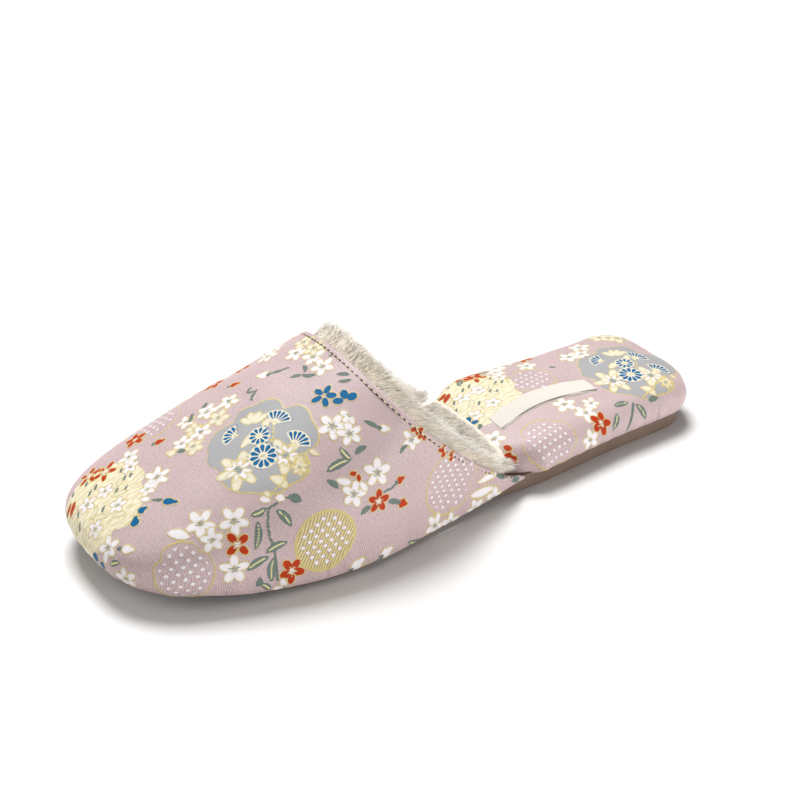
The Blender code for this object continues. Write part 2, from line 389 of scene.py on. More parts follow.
def build_piece(name: str, points: Array, faces: Sequence[Array], material: Material,
                smooth: bool = True) -> Object:
    """Makes an object from arrays.

    Args:
        name: The piece's name.
        points: Points in millimetres from the heel's back, one row each.
        faces: Arrays of point numbers, each with its own number of corners.
        material: The piece's material.
        smooth: Whether its faces are shaded smooth.

    Returns:
        The new object, at the origin, with its place in its mesh.
    """
    places = (points.reshape(-1, 3) + SHIFT) * MM
    corners = np.concatenate([f.ravel() for f in faces]).astype(np.int32)
    sizes = np.concatenate([np.full(len(f), f.shape[1]) for f in faces])
    starts = np.concatenate([[0], np.cumsum(sizes)[:-1]]).astype(np.int32)
    mesh = bpy.data.meshes.new(name)
    mesh.vertices.add(len(places))
    mesh.vertices.foreach_set("co", places.astype(np.float32).ravel())
    mesh.loops.add(len(corners))
    mesh.loops.foreach_set("vertex_index", corners)
    mesh.polygons.add(len(sizes))
    mesh.polygons.foreach_set("loop_start", starts)
    mesh.update(calc_edges=True)
    mesh.validate()
    if smooth:
        mesh.shade_smooth()
    mesh.materials.append(material)
    piece = bpy.data.objects.new(name, mesh)
    bpy.context.scene.collection.objects.link(piece)
    return piece


def add_values(piece: Object, name: str, values: Array) -> None:
    """Stores one number, or one row of three, for each point under that attribute name."""
    kind, key = ("FLOAT_VECTOR", "vector") if values.ndim == 2 else ("FLOAT", "value")
    attribute = piece.data.attributes.new(name, kind, "POINT")
    attribute.data.foreach_set(key, np.ascontiguousarray(values, np.float32).ravel())


def add_cloth_map(piece: Object, places: Array) -> None:
    """Gives the mesh a UV map of the cloth's own millimetres.

    Args:
        piece: The piece of cloth.
        places: Place on the cloth of each point, one row each.
    """
    layer = piece.data.uv_layers.new(name="cloth")
    numbers = np.empty(len(piece.data.loops), np.int32)
    piece.data.loops.foreach_get("vertex_index", numbers)
    layer.data.foreach_set("uv", (places / UV_SPAN)[numbers].astype(np.float32).ravel())


def finish_piece(piece: Object, slot: str, *nodes: str) -> Object:
    """Hangs the piece on the root body and hides the solids that it stands for.

    Args:
        piece: The finished piece.
        slot: Its material slot; not used.
        nodes: Names of those solids.

    Returns:
        The piece.
    """
    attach(piece, "root")
    if nodes:
        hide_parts(*nodes)
    return piece


# ---- shader helpers ------------------------------------------------------------------
def srgb(red: int, green: int, blue: int) -> tuple[float, float, float, float]:
    """Linear colour of a display colour given in 0..255."""
    levels = [c / 255.0 for c in (red, green, blue)]
    linear = [c / 12.92 if c <= 0.04045 else ((c + 0.055) / 1.055) ** 2.4 for c in levels]
    return (*linear, 1.0)


def operator(operation: str) -> Callable[..., "Value"]:
    """A method of Value that adds a Math node.

    Args:
        operation: The node's operation.

    Returns:
        The method.
    """
    def method(value: "Value", *others: "Value | float") -> "Value":
        """Result of the node, with this value first."""
        return value.math(operation, *others)
    return method


class Value:
    """A number socket that takes part in Python arithmetic; each operation adds a Math node."""

    def __init__(self, tree: "Tree", socket: NodeSocket) -> None:
        """Wraps one output socket of a tree."""
        self.tree = tree
        self.socket = socket

    def math(self, operation: str, *others: "Value | float", clamp: bool = False) -> "Value":
        """Result of one Math node with this value first."""
        settings = {"operation": operation, "use_clamp": clamp}
        node = self.tree.node("ShaderNodeMath", settings, dict(enumerate((self, *others))))
        return Value(self.tree, node.outputs[0])

    __add__ = __radd__ = operator("ADD")
    __sub__ = operator("SUBTRACT")
    __mul__ = __rmul__ = operator("MULTIPLY")
    __truediv__ = operator("DIVIDE")
    sine, root = operator("SINE"), operator("SQRT")
    at_most, at_least = operator("MINIMUM"), operator("MAXIMUM")
    size, arctan2, nearest = operator("ABSOLUTE"), operator("ARCTAN2"), operator("ROUND")

    def __rsub__(self, other: float) -> "Value":
        """Difference from a number."""
        return self * -1.0 + other

    def clamped(self) -> "Value":
        """Value kept within 0 and 1."""
        return self.math("ADD", 0.0, clamp=True)

    def above(self, level: float, soft: float) -> "Value":
        """0 below level and 1 above it, with a slope soft wide."""
        return ((self - level) / soft + 0.5).clamped()


class Tree:
    """A material's node tree, with one method for every kind of node."""

    def __init__(self, name: str, sockets: dict[str, float]) -> None:
        """Makes a material with a Principled shader.

        Args:
            name: The material's name.
            sockets: Constant values of the shader's sockets.
        """
        self.material = bpy.data.materials.new(name)
        self.material.use_nodes = True
        self.tree = self.material.node_tree
        self.shader = self.tree.nodes["Principled BSDF"]
        for socket, value in sockets.items():
            self.shader.inputs[socket].default_value = value

    def node(self, kind: str, settings: dict[str, object] | None = None,
             inputs: dict[str | int, object] | None = None) -> Node:
        """Adds a node, sets its settings first, then its sockets.

        Args:
            kind: The node's type.
            settings: Its properties.
            inputs: Value or link of each socket, by name or number.

        Returns:
            The node.
        """
        node = self.tree.nodes.new(kind)
        for key, value in (settings or {}).items():
            setattr(node, key, value)
        for key, value in (inputs or {}).items():
            source = value.socket if isinstance(value, Value) else value
            if isinstance(source, NodeSocket):
                self.tree.links.new(source, node.inputs[key])
            else:
                node.inputs[key].default_value = source
        return node

    def value(self, node: Node, output: str | int = 0) -> Value:
        """Wraps a node's output as a number."""
        return Value(self, node.outputs[output])

    def attribute(self, name: str) -> Node:
        """Attribute node for a value stored on the mesh."""
        return self.node("ShaderNodeAttribute", {"attribute_name": name})

    def parts(self, vector: NodeSocket) -> tuple[Value, Value, Value]:
        """The three numbers of a vector."""
        node = self.node("ShaderNodeSeparateXYZ", None, {0: vector})
        return tuple(Value(self, node.outputs[i]) for i in range(3))

    def cloth(self) -> tuple[Value, Value]:
        """Place on the cloth in millimetres, from its UV map."""
        across, along, _ = self.parts(self.node("ShaderNodeUVMap", {"uv_map": "cloth"}).outputs[0])
        return across * UV_SPAN, along * UV_SPAN

    def object_place(self) -> NodeSocket:
        """Object coordinates, in metres."""
        return self.node("ShaderNodeTexCoord").outputs["Object"]

    def noise(self, vector: NodeSocket, scale: float, detail: float = 2.0) -> Value:
        """Fractal noise from 0 to 1 at that many features a unit."""
        inputs = {"Vector": vector, "Scale": scale, "Detail": detail}
        return self.value(self.node("ShaderNodeTexNoise", None, inputs), "Fac")

    def mix(self, factor: Value, first: object, second: object) -> NodeSocket:
        """Colour that goes from first to second as factor goes from 0 to 1."""
        node = self.node("ShaderNodeMix", {"data_type": "RGBA"}, {0: factor, 6: first, 7: second})
        return node.outputs[2]

    def shade(self, colour: object, by: Value) -> NodeSocket:
        """Colour made lighter or darker: multiplied by a value that is about 1."""
        source = colour[:3] if isinstance(colour, tuple) else colour
        node = self.node("ShaderNodeVectorMath", {"operation": "SCALE"}, {0: source, "Scale": by})
        return node.outputs[0]

    def finish(self, colour: NodeSocket, roughness: Value | None = None, height: Value | None = None,
               coat: Value | None = None, strength: float = 0.5) -> Material:
        """Links what varies over the surface to the shader.

        Args:
            colour: Base colour.
            roughness: Roughness, where it varies.
            height: Relief in millimetres, for a Bump node.
            coat: Weight of the coat, where it varies.
            strength: Strength of the relief.

        Returns:
            The material.
        """
        varied = {"Base Color": colour, "Roughness": roughness, "Coat Weight": coat}
        if height is not None:
            inputs = {"Height": height, "Distance": MM, "Strength": strength}
            varied["Normal"] = self.node("ShaderNodeBump", None, inputs).outputs[0]
        for name, source in varied.items():
            if source is not None:
                socket = source.socket if isinstance(source, Value) else source
                self.tree.links.new(socket, self.shader.inputs[name])
        return self.material


# ---- finishes ------------------------------------------------------------------------
class Thread(IntEnum):
    """Threads of the brocade, from the lowest drawn to the highest."""

    GREY = 0
    STRAW = 1
    GILT = 2
    SHADE = 3
    GOLD = 4
    LEAF = 5
    RIB = 6
    WHITE = 7
    CREAM = 8
    RED = 9
    BLUE = 10
    SEED = 11


GREY, STRAW, GILT, SHADE, GOLD, LEAF, RIB, WHITE, CREAM, RED, BLUE, SEED = Thread
THREAD_COLOURS = {
    GREY: srgb(160, 159, 161),
    STRAW: srgb(212, 198, 158),
    GILT: srgb(210, 194, 140),
    SHADE: srgb(176, 148, 152),
    GOLD: srgb(192, 170, 104),
    LEAF: srgb(108, 123, 115),
    RIB: srgb(226, 214, 158),
    WHITE: srgb(232, 226, 228),
    CREAM: srgb(222, 214, 188),
    RED: srgb(178, 54, 20),
    BLUE: srgb(0, 97, 146),
    SEED: srgb(138, 148, 140),
}


@dataclass(frozen=True)
class Brocade:
    """Woven pink ground with floats of coloured thread."""

    ground: Colour = (220, 200, 198)
    ground_dark: Colour = (166, 139, 142)
    gilt_dark: Colour = (120, 104, 70)
    gold_light: Colour = (240, 228, 170)
    straw_light: Colour = (240, 236, 214)
    twill_pitch: float = 0.66
    twill_slope: Pair = (0.97, 0.24)
    float_pitch: float = 0.46
    hatch_pitch: float = 1.5  # of the dark lines across the gilt
    gleam_pitch: float = 0.95  # of the bright floats of the gold
    grain_scale: float = 0.9  # features in a millimetre: single threads
    speck_scale: float = 1.9  # the finest unevenness
    drift_scale: float = 0.05  # slow changes of tone
    reed_scale: float = 0.55  # long strokes in the straw
    step: float = 0.9  # pitch of the saw teeth along an outline
    tooth: float = 0.1
    soft: float = 0.14
    petal_gap: float = 0.21  # half of the gap between a daisy's petals
    twill_relief: float = 0.022
    thread_relief: float = 0.07
    float_relief: float = 0.03

    def petals(self, t: Tree) -> Value:
        """Distance to the daisies' petals, from the place round a daisy's middle.

        In polar coordinates r and w, with petals every step: a petal's half width is
        half of r times the step less a gap, and its outer end is round.

        Args:
            t: The brocade's tree.

        Returns:
            Distance in millimetres, negative inside a petal.
        """
        x, y, radius = t.parts(t.attribute("rosette").outputs["Vector"])
        step, half, odd = t.parts(t.attribute("rosette_form").outputs["Vector"])
        r = (x * x + y * y).root()
        turn = y.arctan2(x)
        count = turn / step.at_least(0.01) + (odd * -0.5 + 0.5)
        swing = (count - count.nearest()) * step
        across = (r * swing).size()
        room = (r * step * 0.5 - self.petal_gap).at_most(radius * 0.23).at_least(0.05)
        slim = across - room
        end = r - radius + (across * across) / room
        inside = radius * 0.36 - r + odd * radius * -0.02
        return slim.at_least(end).at_least(inside).at_least((turn.size() - half) * r)

    def material(self) -> Material:
        """Layers every thread over the ground by its distance field."""
        t = Tree("brocade", {"Roughness": 0.58, "Specular IOR Level": 0.12, "Coat Roughness": 0.52,
                             "Coat IOR": 1.8})
        across, along = t.cloth()
        uv = t.node("ShaderNodeUVMap", {"uv_map": "cloth"}).outputs[0]
        grain = t.noise(uv, self.grain_scale * UV_SPAN, 3.0)
        drift = t.noise(uv, self.drift_scale * UV_SPAN, 2.0)
        speck = t.noise(uv, self.speck_scale * UV_SPAN, 2.0)
        lines = along * self.twill_slope[0] - across * self.twill_slope[1]
        twill = (lines * (TURN / self.twill_pitch) + grain * 3.0).sine()
        floats = ((across + grain * 0.25) * (TURN / self.float_pitch)).sine()
        teeth = (across * (TURN / self.step)).sine() * (along * (TURN / self.step)).sine()
        wobble = teeth * self.tooth + (grain - 0.5) * 0.16
        dots = twill * (speck * 0.9 - 0.1) * 0.62
        tone = (dots + (speck - 0.5) * 0.85 + grain * 0.55 + drift * 0.25).clamped()
        colour = t.mix(tone, srgb(*self.ground_dark), srgb(*self.ground))
        hatch = ((across * 0.62 + along) * (TURN / self.hatch_pitch) + grain * 1.5).sine()
        gilt = t.mix(hatch.above(0.35, 0.6) * 0.72, THREAD_COLOURS[GILT], srgb(*self.gilt_dark))
        gleam = ((across + along * 0.8) * (TURN / self.gleam_pitch) + grain * 5.0).sine()
        gold = t.mix(gleam.above(0.1, 0.9) * 0.5, THREAD_COLOURS[GOLD], srgb(*self.gold_light))
        long = t.node("ShaderNodeVectorMath", {"operation": "MULTIPLY"}, {0: uv, 1: (2.2, 0.5, 1.0)})
        reeds = t.noise(long.outputs[0], self.reed_scale * UV_SPAN, 3.0).above(0.52, 0.2)
        straw = t.mix(reeds * 0.8, THREAD_COLOURS[STRAW], srgb(*self.straw_light))
        special = {GILT: gilt, GOLD: gold, STRAW: straw}
        raised = coloured = None
        for group in range(len(Thread) // 3):
            packed = t.attribute(f"threads_{group}").outputs["Vector"]
            for number, distance in enumerate(t.parts(packed)):
                thread = Thread(group * 3 + number)
                mask = ((distance + wobble) / self.soft * -1.0 + 0.5).clamped()
                plain = special.get(thread, THREAD_COLOURS[thread])
                # painted shade: each thread is darkened towards its edges, where its raised floats round off
                edge = ((distance + wobble) / 0.9 + 1.0).clamped()
                lit = t.shade(plain, floats * 0.1 + grain * 0.2 - edge * edge * 0.13 + 0.93)
                colour = t.mix(mask, colour, lit)
                raised = mask if raised is None else raised.at_least(mask)
                if thread in (LEAF, RED, BLUE):
                    coloured = mask if coloured is None else coloured.at_least(mask)
        petals = ((self.petals(t) + (grain - 0.5) * 0.1) / self.soft * -1.0 + 0.5).clamped()
        colour = t.mix(petals, colour, t.shade(THREAD_COLOURS[BLUE], floats * 0.07 + grain * 0.2 + 0.9))
        height = twill * self.twill_relief + raised * self.thread_relief
        height = height + floats * raised * self.float_relief + petals * self.float_relief
        gloss = 0.42 - raised * 0.16 - coloured.at_least(petals) * 0.24
        return t.finish(colour, 0.62 - raised * 0.1, height, gloss, strength=0.6)


@dataclass(frozen=True)
class Plush:
    """Cream pile, browner at its roots."""

    root: Colour = (232, 217, 194)
    tip: Colour = (250, 246, 237)

    def material(self) -> Material:
        """Colour from root to tip, with each strand a little lighter or darker."""
        t = Tree("plush", {"Roughness": 0.85, "Specular IOR Level": 0.2, "Sheen Weight": 0.5})
        along, shade, _ = t.parts(t.attribute("pile").outputs["Vector"])
        colour = t.mix(along.clamped(), srgb(*self.root), srgb(*self.tip))
        return t.finish(t.shade(colour, shade * 0.22 + 0.87))


@dataclass(frozen=True)
class Rubber:
    """Matt taupe sole rubber, mottled with lighter patches."""

    colour: Colour = (108, 89, 76)
    worn: Colour = (132, 112, 98)

    def material(self) -> Material:
        """Fine grain with broad soft mottling."""
        t = Tree("sole_rubber", {"Roughness": 0.6, "Specular IOR Level": 0.3})
        place = t.object_place()
        grain, cloud = t.noise(place, 1400.0, 3.0), t.noise(place, 55.0, 3.0)
        worn = (cloud - 0.42) * 1.6
        colour = t.mix(worn.clamped(), srgb(*self.colour), srgb(*self.worn))
        colour = t.shade(colour, grain * 0.2 + 0.9)
        return t.finish(colour, grain * 0.2 + 0.5, grain * 0.08, strength=0.5)


@dataclass(frozen=True)
class StitchThread:
    """Twisted sewing thread, dark and cream stitches in turn."""

    dark: Colour = (52, 42, 40)
    light: Colour = (226, 212, 172)

    def material(self) -> Material:
        """Colour by each stitch's own number, 0 dark or 1 light."""
        t = Tree("stitch_thread", {"Roughness": 0.6, "Specular IOR Level": 0.3})
        kind, along, _ = t.parts(t.attribute("stitch").outputs["Vector"])
        twist = (along * 40.0).sine()
        colour = t.mix(kind, srgb(*self.dark), srgb(*self.light))
        return t.finish(t.shade(colour, twist * 0.12 + 0.95))


@dataclass(frozen=True)
class Tape:
    """Plain woven cream tape of the label."""

    colour: Colour = (224, 217, 207)

    def material(self) -> Material:
        """Fine plain weave from the tape's own map."""
        t = Tree("woven_tape", {"Roughness": 0.7, "Specular IOR Level": 0.25, "Sheen Weight": 0.1})
        across, along = t.cloth()
        weave = (across * (TURN / 0.42)).sine() * (along * (TURN / 0.42)).sine()
        uv = t.node("ShaderNodeUVMap", {"uv_map": "cloth"}).outputs[0]
        grain = t.noise(uv, 1.2 * UV_SPAN, 3.0)
        colour = t.shade(srgb(*self.colour), weave * 0.05 + grain * 0.1 + 0.93)
        return t.finish(colour, None, weave * 0.04, strength=0.6)


# ---- drawing on cloth ----------------------------------------------------------------
@dataclass(frozen=True)
class Spot:
    """A place on the cloth: its point, and the directions across and along the shoe there."""

    point: Array
    across: Array
    along: Array


@dataclass
class Cloth:
    """A cloth's grid of points with its chart, and the threads drawn on it.

    The chart gives each point the two numbers, in millimetres, by which motifs are
    placed. A thread's field is the distance to its drawn shapes, negative inside.
    """

    points: Array
    chart: Array
    usable: Array
    fields: Array = field(init=False)

    def __post_init__(self) -> None:
        """Flattens the grids and starts with every thread far away."""
        self.points = self.points.reshape(-1, 3)
        self.chart = self.chart.reshape(-1, 2)
        self.usable = self.usable.ravel()
        self.fields = np.full((len(Thread), len(self.points)), FAR)
        self.rosette = np.zeros((2, len(self.points), 3))
        self.rosette[0] = FAR

    def nearest(self, at: Pair) -> Array:
        """The cloth's point whose chart numbers are closest to at."""
        gap = ((self.chart - np.array(at)) ** 2).sum(axis=1) + 1e6 * ~self.usable
        return self.points[gap.argmin()]

    def spot(self, at: Pair, step: float = 5.0) -> Spot:
        """Local directions at a place of the chart.

        Args:
            at: The place.
            step: How far to either side lie the points that give them.

        Returns:
            The place's point and directions.
        """
        along = unit(self.nearest((at[0], at[1] + step)) - self.nearest((at[0], at[1] - step)))
        side = self.nearest((at[0] + step, at[1])) - self.nearest((at[0] - step, at[1]))
        across = unit(side - along * (side @ along))
        return Spot(self.nearest(at), across, along)

    def between(self, start: Pair, end: Pair) -> tuple[Spot, float, float]:
        """The spot midway between two places of the chart.

        Args:
            start: The first.
            end: The second.

        Returns:
            The spot, half their distance, and the way from one to the other.
        """
        spot = self.spot(((start[0] + end[0]) / 2, (start[1] + end[1]) / 2))
        axis = self.nearest(end) - self.nearest(start)
        return spot, np.linalg.norm(axis) / 2, math.atan2(axis @ spot.along, axis @ spot.across)

    def local(self, spot: Spot, reach: float) -> tuple[Array, Array]:
        """Points round a spot, on a flat map.

        A point's direction on the map is that of its offset along the cloth, and its
        distance is the length of the straight line to it.

        Args:
            spot: Middle of the map.
            reach: Distance from it within which points are taken.

        Returns:
            Their numbers, and their places on the map.
        """
        offset = self.points - spot.point
        length = np.linalg.norm(offset, axis=1)
        index = np.flatnonzero(length < reach)
        flat = np.stack([offset[index] @ spot.across, offset[index] @ spot.along], axis=1)
        return index, unit(flat) * length[index, None]

    def paint(self, thread: Thread, index: Array, distance: Array, outline: float = 0.0) -> None:
        """Adds a shape to a thread's field and cuts it out of every higher thread.

        Args:
            thread: The thread it is woven with.
            index: Numbers of the points near it.
            distance: Distance of each of them to its edge, negative inside.
            outline: Width of the gold drawn round it.
        """
        rows = self.fields
        if outline:
            self.paint(GOLD, index, distance - outline)
        rows[thread, index] = np.minimum(rows[thread, index], distance)
        for upper in range(thread + 1, len(Thread)):
            rows[upper, index] = np.maximum(rows[upper, index], -distance)

    def dress(self, piece: Object, index: Array) -> None:
        """Stores on a piece what its finish reads.

        Args:
            piece: A piece cut from the cloth.
            index: Number in the cloth of each of its points.
        """
        for group in range(len(Thread) // 3):
            add_values(piece, f"threads_{group}", self.fields[group * 3:group * 3 + 3, index].T)
        add_values(piece, "rosette", self.rosette[0, index])
        add_values(piece, "rosette_form", self.rosette[1, index])

    def relief(self, height: float) -> Array:
        """Height of the floats above the ground: a soft step at the nearest thread's edge."""
        return height * ease(0.25, -0.25, self.fields.min(axis=0))


def oval(flat: Array, middle: Pair, turn: float, long: float, wide: float) -> Array:
    """Distance to an oval's rim, to first order.

    With k the place's distance in half axes, it is (k - 1) k over half the gradient of k squared.

    Args:
        flat: Places on a flat map.
        middle: The oval's middle.
        turn: Angle of its long axis.
        long: Its half length.
        wide: Its half width.

    Returns:
        One distance for each place, negative inside.
    """
    p, q = turned(flat[:, 0] - middle[0], flat[:, 1] - middle[1], turn)
    k = np.hypot(p / long, q / wide)
    return (k - 1.0) * k / np.maximum(np.hypot(p / long**2, q / wide**2), 1e-6)


def petals(flat: Array, radius: float, directions: Iterable[float], inner: float, width: float,
           rng: Generator) -> Array:
    """Distance to a ring of petals, each an oval.

    Args:
        flat: Places on a flat map round the flower.
        radius: Radius of the ring.
        directions: Angle of each petal.
        inner: Share of the radius at which a petal begins.
        width: Its half width, as a share of the radius.
        rng: Seeded source of its irregularity.

    Returns:
        Distance of each place to the nearest petal.
    """
    nearest = np.full(len(flat), FAR)
    for direction in directions:
        turn = direction + rng.normal(0.0, 0.05)
        reach = radius * rng.uniform(0.93, 1.05)
        middle = reach * (1.0 + inner) / 2
        place = (middle * math.cos(turn), middle * math.sin(turn))
        shape = oval(flat, place, turn, reach * (1.0 - inner) / 2, radius * width * rng.uniform(0.92, 1.06))
        nearest = np.minimum(nearest, shape)
    return nearest


class Motif:
    """Something that is drawn on cloth."""

    def draw(self, cloth: Cloth, rng: Generator) -> None:
        """Paints it.

        Args:
            cloth: The cloth that it is woven into.
            rng: Seeded source of its irregularity.
        """
        raise NotImplementedError


@dataclass(frozen=True)
class Blossom(Motif):
    """A flower of separate round petals with a gold outline and a seeded centre."""

    at: Pair
    radius: float
    thread: Thread = WHITE
    turn: float = 90.0
    count: int = 5
    kept: int = 5
    width: float = 0.275
    inner: float = 0.18
    outline: float = 0.37
    seeds: bool = True

    def draw(self, cloth: Cloth, rng: Generator) -> None:
        """Paints outline, petals and seeds."""
        index, flat = cloth.local(cloth.spot(self.at), self.radius + 2.5)
        start = math.radians(self.turn)
        directions = [start + TURN * k / self.count for k in range(min(self.kept, self.count))]
        shape = petals(flat, self.radius, directions, self.inner, self.width, rng)
        cloth.paint(self.thread, index, shape, self.outline)
        if self.seeds:
            thread = WHITE if self.thread == RED else SEED
            star = petals(flat, self.radius * 0.42, directions, 0.0, 0.11, rng)
            cloth.paint(thread, index, star)


@dataclass(frozen=True)
class Daisy(Motif):
    """A daisy, or a fan-shaped part of one, of narrow petals on a pale outline.

    The cloth stores the place of each point from its middle; the finish draws the petals.
    """

    at: Pair
    radius: float
    turn: float = 0.0
    spread: float = 360.0
    count: int = 11

    def draw(self, cloth: Cloth, rng: Generator) -> None:
        """Paints the pale outline and the heart, and stores the petals' map and numbers."""
        index, flat = cloth.local(cloth.spot(self.at), self.radius + 2.5)
        x, y = turned(flat[:, 0], flat[:, 1], math.radians(self.turn))
        r = np.hypot(x, y)
        step = math.radians(self.spread / (self.count if self.spread >= 360.0 else self.count - 0.4))
        half = math.pi + 0.1 if self.spread >= 360.0 else math.radians(self.spread / 2) + step * 0.2
        side = (np.abs(np.arctan2(y, x)) - half) * np.maximum(r, 0.5)
        form = np.maximum(r - self.radius, np.maximum(side, self.radius * 0.22 - r))
        cloth.paint(CREAM, index, form - 0.4)
        near = form < 0.8
        cloth.rosette[0][index[near]] = np.stack([x, y, np.full_like(x, self.radius)], axis=1)[near]
        cloth.rosette[1][index[near]] = (step, half, 1.0 if self.count % 2 else 0.0)
        cloth.paint(RIB, index, r - self.radius * 0.15)


@dataclass(frozen=True)
class Leaf(Motif):
    """A bent, saw-edged leaf between two places, with a pale rib."""

    start: Pair
    end: Pair
    wide: float = 1.5
    bend: float = 0.6
    rib: bool = True
    thread: Thread = LEAF
    outline: float = 0.0

    def draw(self, cloth: Cloth, rng: Generator) -> None:
        """Paints the blade: a lens whose half width falls to its tips."""
        spot, half, lean = cloth.between(self.start, self.end)
        half = max(half, 0.5)
        index, flat = cloth.local(spot, half + 3.0)
        x, y = turned(flat[:, 0], flat[:, 1], lean)
        share = np.clip(np.abs(x) / half, 0.0, 1.0)
        y = y - self.bend * (1.0 - share**2)
        width = self.wide * (1.0 - share**2) ** 0.8 + 0.12 * np.sin(x * 5.5)
        blade = np.where(np.abs(x) < half, np.abs(y) - width, np.hypot(np.abs(x) - half, y))
        cloth.paint(self.thread, index, blade, self.outline)
        if self.rib:
            cloth.paint(RIB, index, np.maximum(np.abs(y) - 0.3, (share - 0.72) * half))


@dataclass(frozen=True)
class Stem(Motif):
    """A thin stem through a few places."""

    places: tuple[Pair, ...]
    wide: float = 0.43
    thread: Thread = LEAF

    def draw(self, cloth: Cloth, rng: Generator) -> None:
        """Paints the band round a smooth line through the places."""
        t = np.linspace(0.0, len(self.places) - 1.0, 6 * len(self.places))
        knots = np.arange(len(self.places), dtype=float)
        rough = np.stack([np.interp(t, knots, [p[i] for p in self.places]) for i in range(2)], axis=1)
        rough[1:-1] = (rough[:-2] + 2.0 * rough[1:-1] + rough[2:]) / 4.0
        line = np.array([cloth.nearest(tuple(place)) for place in rough])
        centre, reach = line.mean(axis=0), np.ptp(line, axis=0).max() + 3.0
        index = np.flatnonzero(np.linalg.norm(cloth.points - centre, axis=1) < reach)
        points, nearest = cloth.points[index], np.full(len(index), FAR)
        for first, last in zip(line, line[1:]):
            nearest = np.minimum(nearest, segment_gap(points, first, last)[0] - self.wide)
        cloth.paint(self.thread, index, nearest)


@dataclass(frozen=True)
class Bud(Motif):
    """A closed bud between its base and its tip, with a gold outline and a small calyx."""

    base: Pair
    tip: Pair
    thread: Thread = WHITE
    wide: float = 0.36
    calyx: bool = True

    def draw(self, cloth: Cloth, rng: Generator) -> None:
        """Paints an egg, and three short sepals at its base."""
        spot, half, lean = cloth.between(self.base, self.tip)
        half = max(half, 0.6)
        index, flat = cloth.local(spot, half * 2.0 + 3.0)
        round_end = (-half * 0.3 * math.cos(lean), -half * 0.3 * math.sin(lean))
        egg = np.minimum(oval(flat, round_end, lean, half * 0.7, half * 2.1 * self.wide),
                         oval(flat, (0.0, 0.0), lean, half, half * 1.2 * self.wide))
        cloth.paint(self.thread, index, egg, 0.45)
        reach = half * 0.75
        for swing in (-0.5, 0.0, 0.5) if self.calyx else ():
            turn = lean + math.pi + swing
            place = (-half * 0.75 * math.cos(lean) + reach * 0.5 * math.cos(turn),
                     -half * 0.75 * math.sin(lean) + reach * 0.5 * math.sin(turn))
            cloth.paint(LEAF, index, oval(flat, place, turn, reach * 0.6, 0.42))


@dataclass(frozen=True)
class Roundel(Motif):
    """A filled round field with a gold edge that is scalloped and notched.

    Its rim's radius is the mean one, with a wave for the scallops and a dip at each
    notch. A lattice of small diamonds may fill it.
    """

    at: Pair
    radius: float
    fill: Thread | None = None
    scallops: int = 0
    scallop: float = 0.03
    notches: tuple[float, ...] = ()
    notch: float = 0.13
    edge: float = 0.34
    dots: Thread | None = None
    pitch: float = 2.85
    dot: float = 0.66
    slant: float = 10.0
    squash: float = 1.0

    def rim(self, angle: Array) -> Array:
        """Radius of the rim at an angle."""
        size = np.ones_like(angle)
        if self.scallops:
            size += self.scallop * (np.abs(np.cos(angle * self.scallops / 2)) - 0.6) * 2.0
        for place in self.notches:
            swing = (angle - math.radians(place) + math.pi) % TURN - math.pi
            size -= self.notch * np.exp(-((swing / 0.16) ** 2))
        return self.radius * size

    def draw(self, cloth: Cloth, rng: Generator) -> None:
        """Paints the fill, the gold rim, and the lattice inside it."""
        index, flat = cloth.local(cloth.spot(self.at), self.radius + 3.0)
        flat = flat * np.array([1.0, self.squash])
        disc = np.hypot(flat[:, 0], flat[:, 1]) - self.rim(np.arctan2(flat[:, 1], flat[:, 0]))
        if self.fill is not None:
            cloth.paint(self.fill, index, disc)
        if self.edge:
            cloth.paint(GOLD, index, np.abs(disc) - self.edge)
        if self.dots is not None:
            p, q = turned(flat[:, 0], flat[:, 1], math.radians(self.slant))
            cell = np.maximum(*(np.abs(c / self.pitch % 1.0 - 0.5) for c in (p, q))) * self.pitch
            inside = disc + 1.5
            cloth.paint(SHADE, index, np.maximum(cell - self.dot - 0.2, inside))
            cloth.paint(self.dots, index, np.maximum(cell - self.dot, inside))


Motifs = tuple[Motif, ...]


def weave(cloth: Cloth, motifs: Sequence[Motif], seed: int) -> None:
    """Draws the motifs in order, each with its own seeded irregularity."""
    for number, motif in enumerate(motifs):
        motif.draw(cloth, np.random.default_rng(seed + number))


# ---- motifs --------------------------------------------------------------------------
def moved(motifs: Sequence[Motif], by: Pair) -> Motifs:
    """The same group of motifs in another place.

    Args:
        motifs: The group.
        by: How far it moves across and along the chart.

    Returns:
        The moved group.
    """
    def shift(place: Pair) -> Pair:
        """One place, moved."""
        return (place[0] + by[0], place[1] + by[1])

    def copy(motif: Motif) -> Motif:
        """One motif, with all its places moved."""
        if isinstance(motif, Stem):
            return replace(motif, places=tuple(shift(place) for place in motif.places))
        keys = [key for key in ("at", "start", "end", "base", "tip") if hasattr(motif, key)]
        return replace(motif, **{key: shift(getattr(motif, key)) for key in keys})

    return tuple(copy(motif) for motif in motifs)


def blossoms(thread: Thread, *rows: tuple[float, ...]) -> Motifs:
    """Blossoms of one thread from rows of place, radius, turn and, where cut, petals kept."""
    return tuple(Blossom((g, v), r, thread, turn, kept=int(kept[0]) if kept else 5)
                 for g, v, r, turn, *kept in rows)


def leaves(*rows: tuple[float, ...]) -> Motifs:
    """Ribbed leaves from rows of start, end, half width and bend."""
    return tuple(Leaf((g, v), (h, w), *form) for g, v, h, w, *form in rows)


def blades(thread: Thread, *rows: tuple[float, ...], outline: float = 0.0) -> Motifs:
    """Plain leaves or single petals of one thread, from the same rows."""
    return tuple(Leaf((g, v), (h, w), *form, False, thread, outline) for g, v, h, w, *form in rows)


